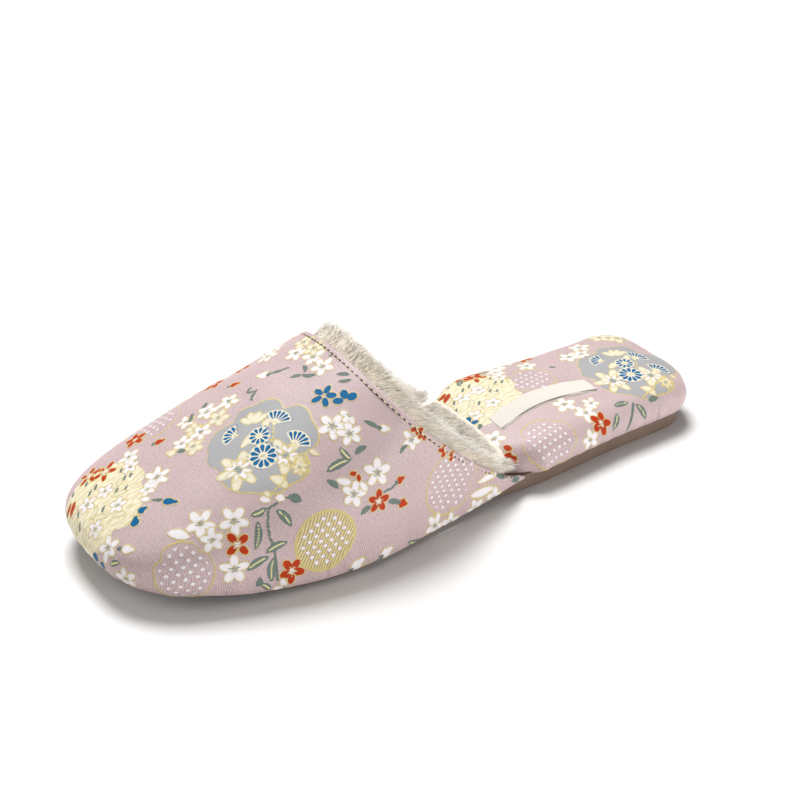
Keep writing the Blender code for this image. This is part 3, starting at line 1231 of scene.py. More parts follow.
def buds(thread: Thread, *rows: tuple[float, ...], calyx: bool = True) -> Motifs:
    """Buds of one thread from rows of base, tip and, where slim or full, width."""
    return tuple(Bud((g, v), (h, w), thread, *wide, calyx=calyx) for g, v, h, w, *wide in rows)


# Grey cloud roundel with two daisies, three fans and cream flowers, about its centre.
GARDEN: Motifs = (
    Roundel((0, 0), 19.6, GREY, scallops=9, scallop=0.026, notches=(-61, 8, -140, 87), notch=0.15),
    Blossom((9.9, -1.6), 6, CREAM, -89, count=10, kept=4, width=0.19, inner=0.1, seeds=False),
    *blades(CREAM, (4.6, -3.2, 8.2, -6.2, 1.2, 0.2), (6, 2.2, 3.4, 6.6, 1.3, 0.4), outline=0.35),
    Blossom((-4.2, 11.4), 8, CREAM, -45, count=6, kept=5, width=0.19, inner=0.2, seeds=False),
    Blossom((-4.2, 11.4), 4.8, WHITE, 0, count=8, kept=8, width=0.13, inner=0.24, outline=0.3),
    Blossom((-9.3, -4.8), 7.4, CREAM, -2, width=0.2, inner=0.2, seeds=False),
    Blossom((-9.3, -4.8), 4.4, WHITE, 20, count=8, kept=8, width=0.13, inner=0.24, outline=0.3),
    Blossom((-15.8, -7.5), 2.8, CREAM, 0, count=7, kept=7, width=0.16, outline=0.5),
    *blades(CREAM, (-13.2, 3.9, -20, -0.2, 1.5, 0.6), outline=0.45),
    *blades(CREAM, (-12.2, -12.4, -15.6, -14.4, 0.7, 0), outline=0.4),
    Stem(((-12, -9.5), (-14.5, -3.5), (-17.5, 1), (-18.5, 6)), 0.3, GOLD),
    Stem(((4.2, -7.1), (0, -5), (-2, -2)), 0.28, GOLD),
    Daisy((4.3, -7.1), 5.7, -64, 104, 6),
    Daisy((-7.4, -8.6), 5.5, -70, 112, 6),
    Daisy((9.7, 5.2), 4.9, 42, 112, 5),
    Daisy((3.4, -1.1), 3.6, 12, 360, 10),
    Daisy((-4.7, 2.2), 4.7, 4, 360, 11),
)

# Straw roundel with red stars, white flowers and short grass strokes, about its centre.
MEADOW: Motifs = (
    Roundel((0, 0), 18.4, STRAW, scallops=9, scallop=0.015, notches=(177, -107), edge=0),
    *(Leaf((g, v), (g + 2.6, v - 2.4), 0.55, 0.1, False) for g, v in (
        (7.3, -11.9), (1.7, -13.5), (2.5, -11), (-3.1, -8.4), (-0.9, -6), (13.4, -1.6), (8, -2),
        (7.6, 0.6), (-4.9, 1.4), (-9, -4), (3, 8.5), (-2, 11), (11, 11), (14.6, 4))),
    *blossoms(WHITE, (4.3, -4.1, 3.5, 15), (4.6, 3, 3.7, 55), (-6.8, -3.7, 3.5, 30), (-8.8, 6.6, 3.5, 10),
              (12.8, -18.4, 4.2, 0), (7.4, -16.4, 3.4, 40)),
    *(Leaf((g, v), (h, w), 0.9, 0.3, False, CREAM, 0.35) for g, v, h, w in (
        (-1, -4.5, -3, -9.5), (-4, 5, -8, 1), (4, 8.5, 0.5, 12.5), (-10, -0.5, -12.6, -4.6),
        (0, 1, -3, 5.5), (-3.6, 9.6, -7, 13.4), (8.6, 5.6, 6, 9.6), (1.6, -8.4, 4.8, -11.4))),
    Blossom((14, -9.5), 5, RED, 12, width=0.17, inner=0.2),
    Blossom((18.4, -5.6), 4.6, RED, 40, width=0.17, inner=0.2),
    *blades(RED, (11.4, 4.6, 8, 9.8, 1.1, 0.2), (12.8, 5.4, 11, 10.4, 0.9, 0.2), outline=0.3),
)

# Stem of white and red flowers that runs down the outer side, between two roundels.
SPRAY: Motifs = (
    Stem(((-41.5, 12), (-41.5, 19), (-46, 20.6), (-50, 21), (-54, 20), (-67, 19))),
    *blades(LEAF, (-41.6, 11.8, -45.6, 7.6, 1.6, 0.2)),
    *blades(WHITE, (-37.4, 20.8, -39.4, 16.8, 1.2, 0.3), (-39.9, 16, -42.2, 12.6, 1.2, 0.3), outline=0.4),
    *blades(CREAM, (-36, 18.6, -38.8, 17, 0.8, 0), outline=0.4),
    *leaves((-40.5, 26, -41, 20, 1.3, -0.6), (-43, 17, -51, 13, 1.6, 0.6),
            (-43, 24, -52, 27, 1.4, 0.8), (-55, 22.6, -55, 15, 1.5, 0.5),
            (-58.5, 30, -57, 22, 1.7, 0.5), (-58, 20, -67, 21, 1.6, -0.6)),
    *blades(LEAF, (-62, 24, -67, 28, 1.2, 0.5)),
    *leaves((-67, 27, -71, 21, 1.2, 0.5)),
    *blossoms(WHITE, (-33, 42, 5.3, 150), (-39, 31, 5.2, 153), (-41, 40, 4.1, 120),
              (-55, 34, 5.2, -27)),
    Blossom((-47, 32), 4.7, RED, 15, count=4, kept=4),
    *blades(WHITE, (-28.5, 53.5, -35, 47, 1.6, 0.3), outline=0.4),
    *blossoms(RED, (-66, 14, 4.7, -124)),
    *blossoms(WHITE, (-72, 16, 4.4, 10, 4)),
)

# Second stem, of white flowers and red buds, towards the heel.
SPRIG: Motifs = (
    *leaves((-42, -4, -43, -13, 1.6, 0.6), (-37, -11, -43, -13, 1.2, -0.4)),
    *blades(LEAF, (-42, -15, -42, -20, 1.1, 0.4), (-44, -3, -49, -6, 1.1, 0.4)),
    *blossoms(WHITE, (-54, -11, 4.6, 28), (-52, -21, 5.1, -27)),
    *blades(WHITE, (-50, -11, -46, -6, 1.2, 0.2), (-55.5, -16, -51.6, -14, 1.1, 0),
            outline=0.4),
    Blossom((-48, -14), 2.9, RED, 70, count=4, kept=2, seeds=False),
    *blossoms(RED, (-62, -20, 4.5, -27)),
    Stem(((-60, -22.5), (-60.5, -26), (-60, -29))),
    *buds(RED, (-60, -28.5, -59.8, -32)),
    *blades(LEAF, (-64.4, -24, -68, -28.6, 1.1, 0.2)),
    *buds(RED, (-68, -29, -71.4, -32.6)),
    *blades(LEAF, (-62.6, -12.6, -62, -17.2, 1.2, 0.3), (-33.5, -22, -39, -26, 0.9, 0.2)),
    *buds(WHITE, (-39, -26.5, -41.4, -29.6)),
)

VAMP_MOTIFS: Motifs = (
    *moved(MEADOW, (2.8, 66.4)),
    *moved(GARDEN, (-19.5, 11)),
    Roundel((-44.3, 50.8), 10, notches=(19, -79), dots=WHITE),
    Roundel((-63.5, 1), 10.8, GILT, edge=0.5, dots=WHITE, squash=0.96),
    Roundel((-76, -54), 12.5, notches=(-9, 168, -127), dots=WHITE),
    Roundel((28, 31), 11, notches=(-61, 150), dots=WHITE),
    *SPRAY,
    *SPRIG,
    # between the straw and the grey roundel, along the crest
    *blossoms(CREAM, (4.3, 16.8, 4.2, 15), (-1.6, 30.4, 4.2, 70), (6.6, 25.6, 3.6, 40)),
    *blossoms(WHITE, (11, 17.3, 4.3, 20), (8.7, 9.2, 4.1, 5), (2.5, 24.9, 4.1, 5), (4, 31.8, 3.8, 30),
              (13.4, 24.4, 3.6, 60)),
    *blades(LEAF, (1.2, 33, -1.4, 35.2, 0.7, 0.2), (17.5, 14, 14.5, 17, 0.9, 0.4),
            (16.5, 20.5, 11.5, 25, 0.8, 0.3)),
    Blossom((-4, 46.9), 5.3, WHITE, 25, count=6, kept=6, width=0.23),
    *blossoms(WHITE, (-6.4, 51.6, 3.4, 60)),
    *blades(WHITE, (-8.6, 55.4, -11.2, 52.6, 1.1, 0.2), outline=0.4),
    *blades(LEAF, (1.2, 35.9, -1.3, 33.1, 0.9, 0.3)),
    *buds(CREAM, (1.4, 36.4, 4.6, 37.6), calyx=False),
    # crest, by the collar
    *blossoms(WHITE, (11.2, -19.3, 4.4, 10), (2.6, -21.6, 4.4, 40), (-5.2, -21.1, 4.5, 64)),
    *blossoms(CREAM, (6.8, -24.2, 4, 75), (15.4, -24.6, 4, 33)),
    *blades(LEAF, (0.5, -11, -2.2, -14.2, 0.9, 0.3), (-1.5, -14.5, -6.5, -18, 1, -0.8),
            (2, -17, -2.2, -15.6, 0.9, 0.6), (-2, -25.2, -3.2, -26.4, 0.5, 0)),
    *buds(WHITE, (10, -7.1, 13.6, -4.6)),
    Stem(((9.7, -7.2), (8, -10.4), (6.1, -13.4))),
    *blades(LEAF, (9.3, -8.2, 7, -11.4, 0.8, 0.3)),
    Stem(((8.5, 0), (7, 3), (5.5, 1))),
    Stem(((5, -0.5), (3.6, 2.2), (1.5, 4))),
    *buds(RED, (18.2, 4, 16.2, 1, 0.3)),
    Blossom((-17, -15), 4.7, BLUE, 12, width=0.25, seeds=False),
    Blossom((-24, -20), 4.6, BLUE, -90, kept=3, width=0.3, seeds=False),
    *blades(LEAF, (-12.5, -22.5, -16, -26, 0.9, 0.3), (-15.4, -21.4, -18.4, -25.6, 0.8, -0.3)),
    *blossoms(WHITE, (-29, -12, 5.1, 8), (-35, -16, 4.4, 50), (-29.4, -18.6, 3.4, 30, 3)),
    # along the collar, down the outer side
    *blossoms(WHITE, (-49, -37, 4, 20, 4)),
    *blossoms(RED, (-46.5, -40, 2.8, 100, 3), (-50, -42, 2.8, 40, 3), (-61, -51, 3.4, 10, 3),
              (-66, -55, 3, 60, 2)),
    *blades(LEAF, (-51, -31, -50, -35, 0.8, 0.5)),
    # low on the outer side, toe to heel
    *blossoms(WHITE, (-84, -13, 3.6, 40, 4), (-88, -46, 4.2, 18), (-92, -53.5, 4.2, 60),
              (-95, -66, 4, 10), (-97, -75, 4, 46)),
    *buds(WHITE, (-82, -9, -80.4, -13.4)),
    Stem(((-85, -22), (-85, -17), (-84.4, -14))),
    *buds(WHITE, (-84.4, -21, -83.4, -25.6)),
    *leaves((-86, -33, -90, -40, 1.3, -0.8)),
    *blades(WHITE, (-89, -64, -93, -75.5, 1.2, 0), (-87, -67.5, -89.6, -76.5, 1, 0.3),
            outline=0.45),
    *blades(LEAF, (-90, -76, -94, -81, 0.8, 0.3), (-97, -84, -101, -88, 0.9, 0.3)),
    # round the toe
    *blades(LEAF, (-12.2, 52.8, -16.6, 48.8, 0.7, 0.1)),
    *buds(BLUE, (-15.9, 49.4, -20.4, 45.3, 0.22), (-13.4, 58.9, -13.8, 55.4, 0.4),
          (-17.8, 62.2, -14, 59.8), calyx=False),
    *blades(LEAF, (-19.6, 70.9, -22, 68.8, 0.8, 0.1)),
    *buds(WHITE, (-21.6, 69.1, -25.4, 65.5, 0.3), calyx=False),
    *leaves((-20, 76.4, -24.2, 71.8, 0.9, 0.5)),
    *blossoms(WHITE, (-16.6, 73.4, 4.2, 33), (-27.6, 72.8, 3.8, 33)),
    *blades(BLUE, (-9.8, 80.6, -13.6, 80.4, 1.3, 0.2), (-14.2, 80.6, -17.3, 79.6, 1.2, 0.2), outline=0.35),
    *buds(RED, (13.4, 38.1, 11.6, 34.4, 0.3)),
    *blossoms(RED, (24.1, 40.6, 4.2, 50), (30, 5.5, 4.4, 30), (31, -6.5, 4.4, 75),
              (31, -28, 4.2, 15)),
    # inner side of the foot
    *moved(GARDEN, (60, -12)),
    *moved(SPRAY, (112, -8)),
    *moved(SPRIG, (136, -30)),
    Roundel((47, 52), 10, notches=(80, 230), dots=WHITE),
    Roundel((44, -40), 10.8, GILT, edge=0.5, dots=WHITE),
    *blossoms(WHITE, (36, 12, 4.2, 27), (24, -14, 4.4, 8), (28, -18.5, 4, 50)),
    *blossoms(RED, (40, 40, 4.2, 10), (88, -60, 4.4, 40)),
    *leaves((36, -20, 31, -16, 1.2, 0.4)),
    *buds(WHITE, (38, 2, 41, 5)),
)


# ---- the vamp ------------------------------------------------------------------------
@dataclass(frozen=True)
class Crease:
    """A soft trough, or a ridge where the depth is negative, between two chart places."""

    start: Pair
    end: Pair
    depth: float
    width: float


@dataclass
class Vamp:
    """The brocade upper: one padded cloth, rolled in at the collar and under at the sole."""

    # numbers of columns with their values of a: side, crest, cut between the pieces, side
    columns: tuple[tuple[int, float], ...] = ((0, -1.0), (228, 0.0), (296, 0.3), (414, 1.0))
    back_rows: int = 170
    toe_rows: int = 143
    hem_steps: int = 8
    hem_run: float = 5.0
    hem_radius: float = 1.25
    tuck_steps: int = 3
    tuck_radius: float = 0.35
    tuck_turn: float = math.radians(140.0)
    hem_drop: float = 2.0  # height over the floor of the padded lower edge, at the ball
    hang_reach: float = 11.0
    bulge: float = 1.5
    toe_swell: float = 1.2  # how much further the padded toe stands out than its wall
    relief: float = 0.1
    pucker: float = 0.22
    pucker_pitch: float = 8.5
    pucker_reach: float = 9.0
    wadding: Pair = (0.12, 26.0)  # height and pitch of the wadding's slow unevenness
    girth: float = 75.0  # cloth from the crest to the rim, about
    toe_ring: float = 52.0  # cloth round the toe in one radian, about
    full_span: Pair = (88.0, 116.0)  # where the hanging edge comes to its full size
    toe_span: Pair = (196.0, 238.0)  # where the toe begins to swell, and swells most
    toe_low: Pair = (8.0, 26.0)  # heights over the feather between which the swelling fades
    crease_ends: float = 0.35  # share of a crease's depth that is left at its ends
    creases: tuple[Crease, ...] = (
        Crease((-58.0, -34.0), (-84.0, -30.0), 0.45, 5.0),
        Crease((-30.0, -6.0), (-66.0, -2.0), 0.35, 6.5),
        Crease((-26.0, 46.0), (-58.0, 40.0), 0.3, 6.0),
        Crease((-64.0, -62.0), (-90.0, -48.0), 0.5, 4.5),
        Crease((-88.0, -74.0), (-72.0, -60.0), -0.45, 4.0),
        Crease((-6.0, 78.0), (-26.0, 60.0), 0.35, 5.0),
        Crease((22.0, -8.0), (60.0, -4.0), 0.4, 6.5),
        Crease((58.0, -40.0), (86.0, -36.0), 0.5, 5.0),
        Crease((14.0, 76.0), (34.0, 56.0), 0.35, 5.0),
        Crease((-10.0, -14.0), (16.0, -12.0), 0.25, 7.0),
    )

    def parameters(self) -> tuple[Array, Array]:
        """Values of a for the columns and b for the rows; hem and tuck steps repeat the edge."""
        knots, values = zip(*self.columns)
        inner = np.interp(np.arange(knots[-1] + 1), knots, values)
        a = np.concatenate([[-1.0] * self.tuck_steps, inner, [1.0] * self.tuck_steps])
        back, toe = np.linspace(-1.0, 0.0, self.back_rows + 1), np.linspace(0.0, 1.0, self.toe_rows + 1)
        b = np.concatenate([[-1.0] * (self.hem_steps + 1), back, toe[1:], [1.0] * self.tuck_steps])
        return a, b

    def section_arc(self, a: Array, y: Array) -> Array:
        """Arc from the crest along the section at a constant y.

        Args:
            a: Values of the columns.
            y: Place along the foot of each point of the grid.

        Returns:
            Length of the arc to each point.
        """
        stations = np.linspace(LAST.collar_side - LAST.corner_sweep - 2.0, LAST.root, 90)
        turn = np.abs(a)[:, None] * LAST.section_turn
        x = np.sign(a)[:, None] * LAST.fullness(turn) / LAST.widest * LAST.half_width(stations)
        z = LAST.section_height(stations) * LAST.section_rise(turn)
        crest = self.tuck_steps + self.columns[1][0]
        table = arc_lengths(np.stack([x, z], axis=-1), 0, crest)
        place = np.clip((y - stations[0]) / (stations[1] - stations[0]), 0.0, len(stations) - 1.001)
        low = place.astype(int)
        column = np.arange(len(a))[None, :]
        return table[column, low] * (1.0 - place + low) + table[column, low + 1] * (place - low)

    def build(self, finish: Material) -> list[Object]:
        """Builds the cloth in two pieces that meet, draws its motifs and rolls its edges.

        The chart counts arcs across the foot from the crest, and along it from the root
        of the toe: sections lie at a constant y behind the root and sweep round in the toe.
        Low on the corners of the toe it would fold over itself, so they place no motifs.

        Args:
            finish: The brocade.

        Returns:
            The outer and the inner piece.
        """
        a, b = self.parameters()
        grid_a, grid_b = np.meshgrid(a, b)
        skin = LAST.vamp(grid_a, grid_b)
        normal, along_a, along_b = LAST.vamp_frame(grid_a, grid_b)
        toe = grid_b > 0.0
        crest, cut = (self.tuck_steps + self.columns[knot][0] for knot in (1, 2))
        root = self.hem_steps + 1 + self.back_rows
        across = np.where(toe, arc_lengths(skin, 1, crest), self.section_arc(a, skin[..., 1]))
        along = np.where(toe, arc_lengths(skin, 0, root), skin[..., 1] - LAST.root)
        chart = np.stack([across, along], axis=-1)
        cloth = Cloth(skin, chart, (grid_b < 0.4) | (np.abs(grid_a) < 0.9))
        weave(cloth, VAMP_MOTIFS, 100)
        lift = cloth.relief(self.relief).reshape(grid_a.shape)
        lift = lift + self.soft_form(cloth, grid_a, grid_b, skin)
        skin = skin + normal * lift[..., None] + self.hang(skin, normal)
        skin = skin + self.rolls(grid_a.shape, normal, along_a, along_b)
        places = chart + self.overrun(grid_a.shape)
        number = np.arange(grid_a.size).reshape(grid_a.shape)
        pieces = []
        for name, part in (("vamp_outer", slice(None, cut + 1)), ("vamp_inner", slice(cut, None))):
            vamp = build_piece(name, skin[:, part], [grid_faces(*number[:, part].shape)], finish)
            cloth.dress(vamp, number[:, part].ravel())
            add_cloth_map(vamp, places[:, part].reshape(-1, 2))
            pieces.append(finish_piece(vamp, "brocade", "upper"))
        return pieces

    def soft_form(self, cloth: Cloth, a: Array, b: Array, skin: Array) -> Array:
        """Listed creases, puckers at the feather and a slow unevenness of the wadding.

        Args:
            cloth: The vamp's cloth.
            a: Value of a at each point of the grid.
            b: Value of b.
            skin: The points.

        Returns:
            Height over the skin at each point.
        """
        form = np.zeros(len(cloth.points))
        for crease in self.creases:
            gap, share = segment_gap(cloth.points, cloth.nearest(crease.start), cloth.nearest(crease.end))
            full = self.crease_ends + (1.0 - self.crease_ends) * np.sin(math.pi * share)
            form -= crease.depth * np.exp(-((gap / crease.width) ** 2)) * full
        form = form.reshape(a.shape)
        rng = np.random.default_rng(5)
        rim = np.maximum(np.abs(a), np.where(b > 0.0, b, -1.0))
        drop = (1.0 - rim) * self.girth
        ring = np.arctan2(skin[..., 0], (skin[..., 1] - LAST.root) * 0.9)
        around = np.where(b > 0.0, ring * self.toe_ring, skin[..., 1])
        wander = 1.6 * np.sin(around / 17.0) + 0.9 * np.sin(around / 7.3 + 1.0)
        pucker = np.sin(TURN * around / self.pucker_pitch + wander)
        fade = np.exp(-((drop / self.pucker_reach) ** 2)) * ease(0.0, 2.0, drop)
        calm = 1.0 - ease(0.9, 1.0, np.abs(a)) * ease(0.6, 1.0, -b)
        slow = self.wadding[0] * waves(skin, self.wadding[1], 6, rng)
        return form + pucker * self.pucker * fade * calm + slow

    def hang(self, skin: Array, normal: Array) -> Array:
        """Lets the padded lower edge bulge outwards and hang over the sole's side.

        Args:
            skin: Grid of points.
            normal: Unit normal at each.

        Returns:
            Offset of each point.
        """
        y = skin[..., 1]
        top = LAST.sole_top(y)
        height = skin[..., 2] - top - LAST.gap
        thick = top - LAST.toe_rise(y)
        goal = LAST.toe_rise(y) + self.hem_drop + 0.45 * (thick - LAST.sole_ball)
        full = ease(*self.full_span, y)
        drop = (top + LAST.gap - goal) * (0.25 + 0.75 * full) * (1.0 - ease(0.0, self.hang_reach, height))
        push = self.bulge * (0.4 + 0.6 * full) * (1.0 - ease(0.0, self.hang_reach * 0.9, height))
        push = push + self.toe_swell * ease(*self.toe_span, y) * (1.0 - ease(*self.toe_low, height))
        outward = unit(normal * np.array([1.0, 1.0, 0.0]))
        return outward * push[..., None] - drop[..., None] * np.array([0.0, 0.0, 1.0])

    def edge_angles(self, shape: tuple[int, int]) -> tuple[Array, Array, Array]:
        """How far the edges have rolled.

        Args:
            shape: Rows and columns of the grid.

        Returns:
            Angle of each row at the collar and at the toe, and of each column at the sides.
        """
        rows, columns = shape
        hem = np.zeros(rows)
        hem[1:self.hem_steps + 1] = np.linspace(math.pi, 0.0, self.hem_steps + 1)[:-1]
        hem[0] = math.pi
        steps = np.linspace(0.0, self.tuck_turn, self.tuck_steps + 1)[1:]
        front, side = np.zeros(rows), np.zeros(columns)
        front[-self.tuck_steps:] = steps
        side[-self.tuck_steps:] = steps
        side[:self.tuck_steps] = steps[::-1]
        return hem, front, side

    def rolls(self, shape: tuple[int, int], normal: Array, along_a: Array, along_b: Array) -> Array:
        """Rolls the edges: radius times (sin along the sheet, cos - 1 along the normal).

        Args:
            shape: Rows and columns of the grid.
            normal: Unit normal at each point.
            along_a: Direction in which a grows.
            along_b: Direction in which b grows.

        Returns:
            Offset of each point.
        """
        hem, front, side = self.edge_angles(shape)
        sign = np.sign(np.arange(shape[1]) - shape[1] / 2)

        def roll(angle: Array, radius: float, off: Array) -> Array:
            """Offset of cloth that has turned by an angle round that radius."""
            return radius * (np.sin(angle)[..., None] * off + (np.cos(angle) - 1.0)[..., None] * normal)

        moved = roll(np.broadcast_to(hem[:, None], shape), self.hem_radius, -along_b)
        moved += roll(np.broadcast_to(front[:, None], shape), self.tuck_radius, along_b)
        moved += roll(np.broadcast_to(side, shape), self.tuck_radius, along_a * sign[None, :, None])
        run = np.zeros(shape[0])
        run[0] = self.hem_run
        return moved + along_b * run[:, None, None]

    def overrun(self, shape: tuple[int, int]) -> Array:
        """Cloth lengths of the rolled edges, so that the weave runs on over them.

        Args:
            shape: Rows and columns of the grid.

        Returns:
            What is added to the chart at each point.
        """
        hem, front, side = self.edge_angles(shape)
        sign = np.sign(np.arange(shape[1]) - shape[1] / 2)
        extra = np.zeros((*shape, 2))
        extra[..., 0] += (side * self.tuck_radius * sign)[None, :]
        extra[..., 1] += (front * self.tuck_radius - hem * self.hem_radius)[:, None]
        extra[0, :, 1] -= self.hem_run
        return extra


# ---- the heel cushion ----------------------------------------------------------------
HEEL_MOTIFS: Motifs = (
    *moved(MEADOW, (9.5, 86.5)),
    *moved(GARDEN, (-7.5, 23)),
    Roundel((7, 61), 9.5, notches=(30, 200), dots=WHITE),
    Roundel((-30.2, 77.8), 11.4, notches=(60, -40, 190), dots=WHITE),
    *blossoms(WHITE, (-37.6, 58.7, 4.2, 10), (-16, 95, 4.5, 20), (-23.6, 56.9, 5, 12),
              (-15.1, 60.7, 5, 58), (13.1, 37.8, 4.5, 10), (17.8, 28.1, 4.5, 44), (12, 31.4, 3.4, 70),
              (-19, 51.5, 3.6, 31), (18.4, 55, 3.8, 33)),
    *blossoms(RED, (-31.3, 52.8, 5, 44), (-27.3, 93.5, 4.2, 20, 3), (31.5, 92.6, 4.2, 20),
              (26.4, 76.8, 4.2, 55), (26.4, 52.4, 4.2, 5)),
    Blossom((-1.4, 97.2), 4.5, BLUE, 30, width=0.25, seeds=False),
    *blades(LEAF, (-5, 94, -7.4, 97, 0.9, 0.3)),
    *leaves((-26.5, 36.2, -25.3, 43.6, 1.3, -0.4), (-30.6, 43.3, -38.5, 46.9, 1.4, 0.4),
            (-29, 34.3, -39, 29.8, 1.4, 0.4)),
    *blades(LEAF, (-29.9, 28, -29.7, 22.4, 1.2, 0.3)),
    Stem(((-27.6, 34.7), (-33, 36.6), (-40, 39)), 0.55),
    *blades(LEAF, (9.6, 46.6, 12, 48.6, 0.6, 0.2)),
    # far and back edges
    *moved(SPRIG, (98, 46)),
    *blossoms(WHITE, (26, 66, 4.2, 8), (29, 59, 4, 40)),
    *leaves((24, 70, 28, 74, 1.2, 0.4), (22, 86, 26, 82, 1.2, 0.4)),
    *blossoms(CREAM, (16.4, 8.6, 4.6, 20), (21.6, 15, 4.4, 50)),
    *blades(LEAF, (13.4, 4.6, 16.4, 6, 0.7, 0.3)),
)


@dataclass
class Footbed:
    """The footbed's two covers: brocade over the heel cushion, and plush inside the vamp."""

    seam: float = 97.6  # where the brocade meets the plush
    side_span: float = 0.34  # part of the grid, beyond the plan's rim, that covers the side
    hang: float = 1.3  # how far the padded lower edge hangs past the sole's top
    under: float = 0.14  # further part of the grid that is turned in under the edge
    tuck: float = 2.6
    columns: int = 208
    heel_rows: int = 214
    front_columns: int = 60
    front_rows: int = 90
    relief: float = 0.08
    cage: tuple[int, int] = (27, 30)  # columns and rows of the cage that is inflated
    pressure: float = 4.0
    frames: int = 20
    cap: float = 1.3
    pucker: float = 0.32
    pucker_pitch: float = 8.0
    wadding: Pair = (0.16, 22.0)  # height and pitch of the pad's slow unevenness
    seam_dip: Pair = (0.9, 3.0)  # depth and width of the trough along the seam
    seam_scale: float = 144.0  # millimetres in one unit of the grid along the foot, about
    insole_lap: float = 1.5  # how far the insole begins behind the seam
    insole_side: float = 0.75  # share of the side that it covers
    insole_sink: float = 0.7
    insole_seen: float = 195.0  # place along the foot past which the vamp hides its pile
    insole_lay: Triple = (-0.75, -0.65, 0.0)  # combed to the heel and the outer side
    insole_nap: Pair = (2.0, 5.2)  # mean length of its pile at the seam, and off it
    insole_dense: Pair = (20.0, 50.0)  # distances from the seam between which it thins out
    insole_shadow: float = 0.35  # how much darker it is beside the seam
    insole_strands: int = 14900
    cover: Array = field(init=False)  # points of the heel cover, once it is built

    def surface(self, p: Array, q: Array) -> tuple[Array, Array]:
        """Footbed for p and q that run beyond -1..1; what is beyond goes down the side.

        Args:
            p: Grid value across.
            q: Grid value along.

        Returns:
            Points, and how far down the side each lies, 0 to 1.
        """
        a, b, over = LAST.round_rim(p, q)
        side = (over - 1.0) / self.side_span
        points = LAST.footbed(a, b, np.clip(side, 0.0, 1.0))
        under = np.clip((side - 1.0) / self.under, 0.0, 1.0)
        inward = unit(np.stack(np.subtract(LAST.plan(a, b, 4.0), LAST.plan(a, b, 0.0)), axis=-1))
        points[..., :2] += inward * (under * self.tuck)[..., None]
        points[..., 2] -= self.hang * ease(0.45, 0.95, side) * (1.0 - under)
        return points, side

    def heel_grid(self, columns: int, rows: int) -> tuple[Array, Array]:
        """Grid values from the heel's lower edge to the seam."""
        reach = 1.0 + self.side_span * (1.0 + self.under)
        along = np.linspace(-reach, LAST.share_at(self.seam), rows)
        return np.meshgrid(np.linspace(-reach, reach, columns), along)

    def inflated(self, finish: Material) -> Array:
        """Inflates a coarse copy of the heel cover by cloth simulation.

        Args:
            finish: The brocade.

        Returns:
            How far each point of the cage moves, in millimetres.
        """
        columns, rows = self.cage
        p, q = self.heel_grid(columns, rows)
        points = self.surface(p, q)[0]
        cage = build_piece("cage", points, [grid_faces(rows, columns)], finish)
        edge = np.zeros((rows, columns), bool)
        edge[[0, -1]] = True
        edge[:, [0, -1]] = True
        pinned = cage.vertex_groups.new(name="pinned")
        pinned.add(np.flatnonzero(edge).tolist(), 1.0, "REPLACE")
        cloth = cage.modifiers.new("fill", "CLOTH")
        settings = {"quality": 6, "vertex_group_mass": pinned.name, "use_pressure": True,
                    "uniform_pressure_force": self.pressure, "tension_stiffness": 12.0,
                    "compression_stiffness": 12.0, "shear_stiffness": 6.0, "bending_stiffness": 1.5}
        for key, value in settings.items():
            setattr(cloth.settings, key, value)
        cloth.settings.effector_weights.gravity = 0.0
        cloth.point_cache.frame_start, cloth.point_cache.frame_end = 1, self.frames
        for step in range(1, self.frames + 1):
            bpy.context.scene.frame_set(step)
        graph = bpy.context.evaluated_depsgraph_get()
        moved = np.empty(rows * columns * 3, np.float32)
        cage.evaluated_get(graph).data.vertices.foreach_get("co", moved)
        shift = moved.reshape(rows, columns, 3) / MM - SHIFT - points
        mesh = cage.data
        bpy.data.objects.remove(cage)
        bpy.data.meshes.remove(mesh)
        bpy.context.scene.frame_set(1)
        length = np.linalg.norm(shift, axis=-1, keepdims=True)
        LOG.info("heel cushion swells by up to %.2f mm", length.max())
        return shift * np.minimum(1.0, self.cap / np.maximum(length, 1e-9))

    def spread(self, coarse: Array, rows: int, columns: int) -> Array:
        """Coarse grid read at a finer one, linearly, then smoothed by repeated averaging.

        Args:
            coarse: The coarse grid.
            rows: Rows of the finer one.
            columns: Its columns.

        Returns:
            The finer grid.
        """
        r, c = (np.linspace(0, n - 1.001, m) for n, m in zip(coarse.shape, (rows, columns)))
        i, j = r.astype(int)[:, None], c.astype(int)[None, :]
        u, v = (r[:, None] - i)[..., None], (c[None, :] - j)[..., None]
        low = coarse[i, j] * (1 - v) + coarse[i, j + 1] * v
        high = coarse[i + 1, j] * (1 - v) + coarse[i + 1, j + 1] * v
        fine = low * (1 - u) + high * u
        for _ in range(40):
            fine[1:-1] = (fine[:-2] + 2.0 * fine[1:-1] + fine[2:]) / 4.0
            fine[:, 1:-1] = (fine[:, :-2] + 2.0 * fine[:, 1:-1] + fine[:, 2:]) / 4.0
        return fine

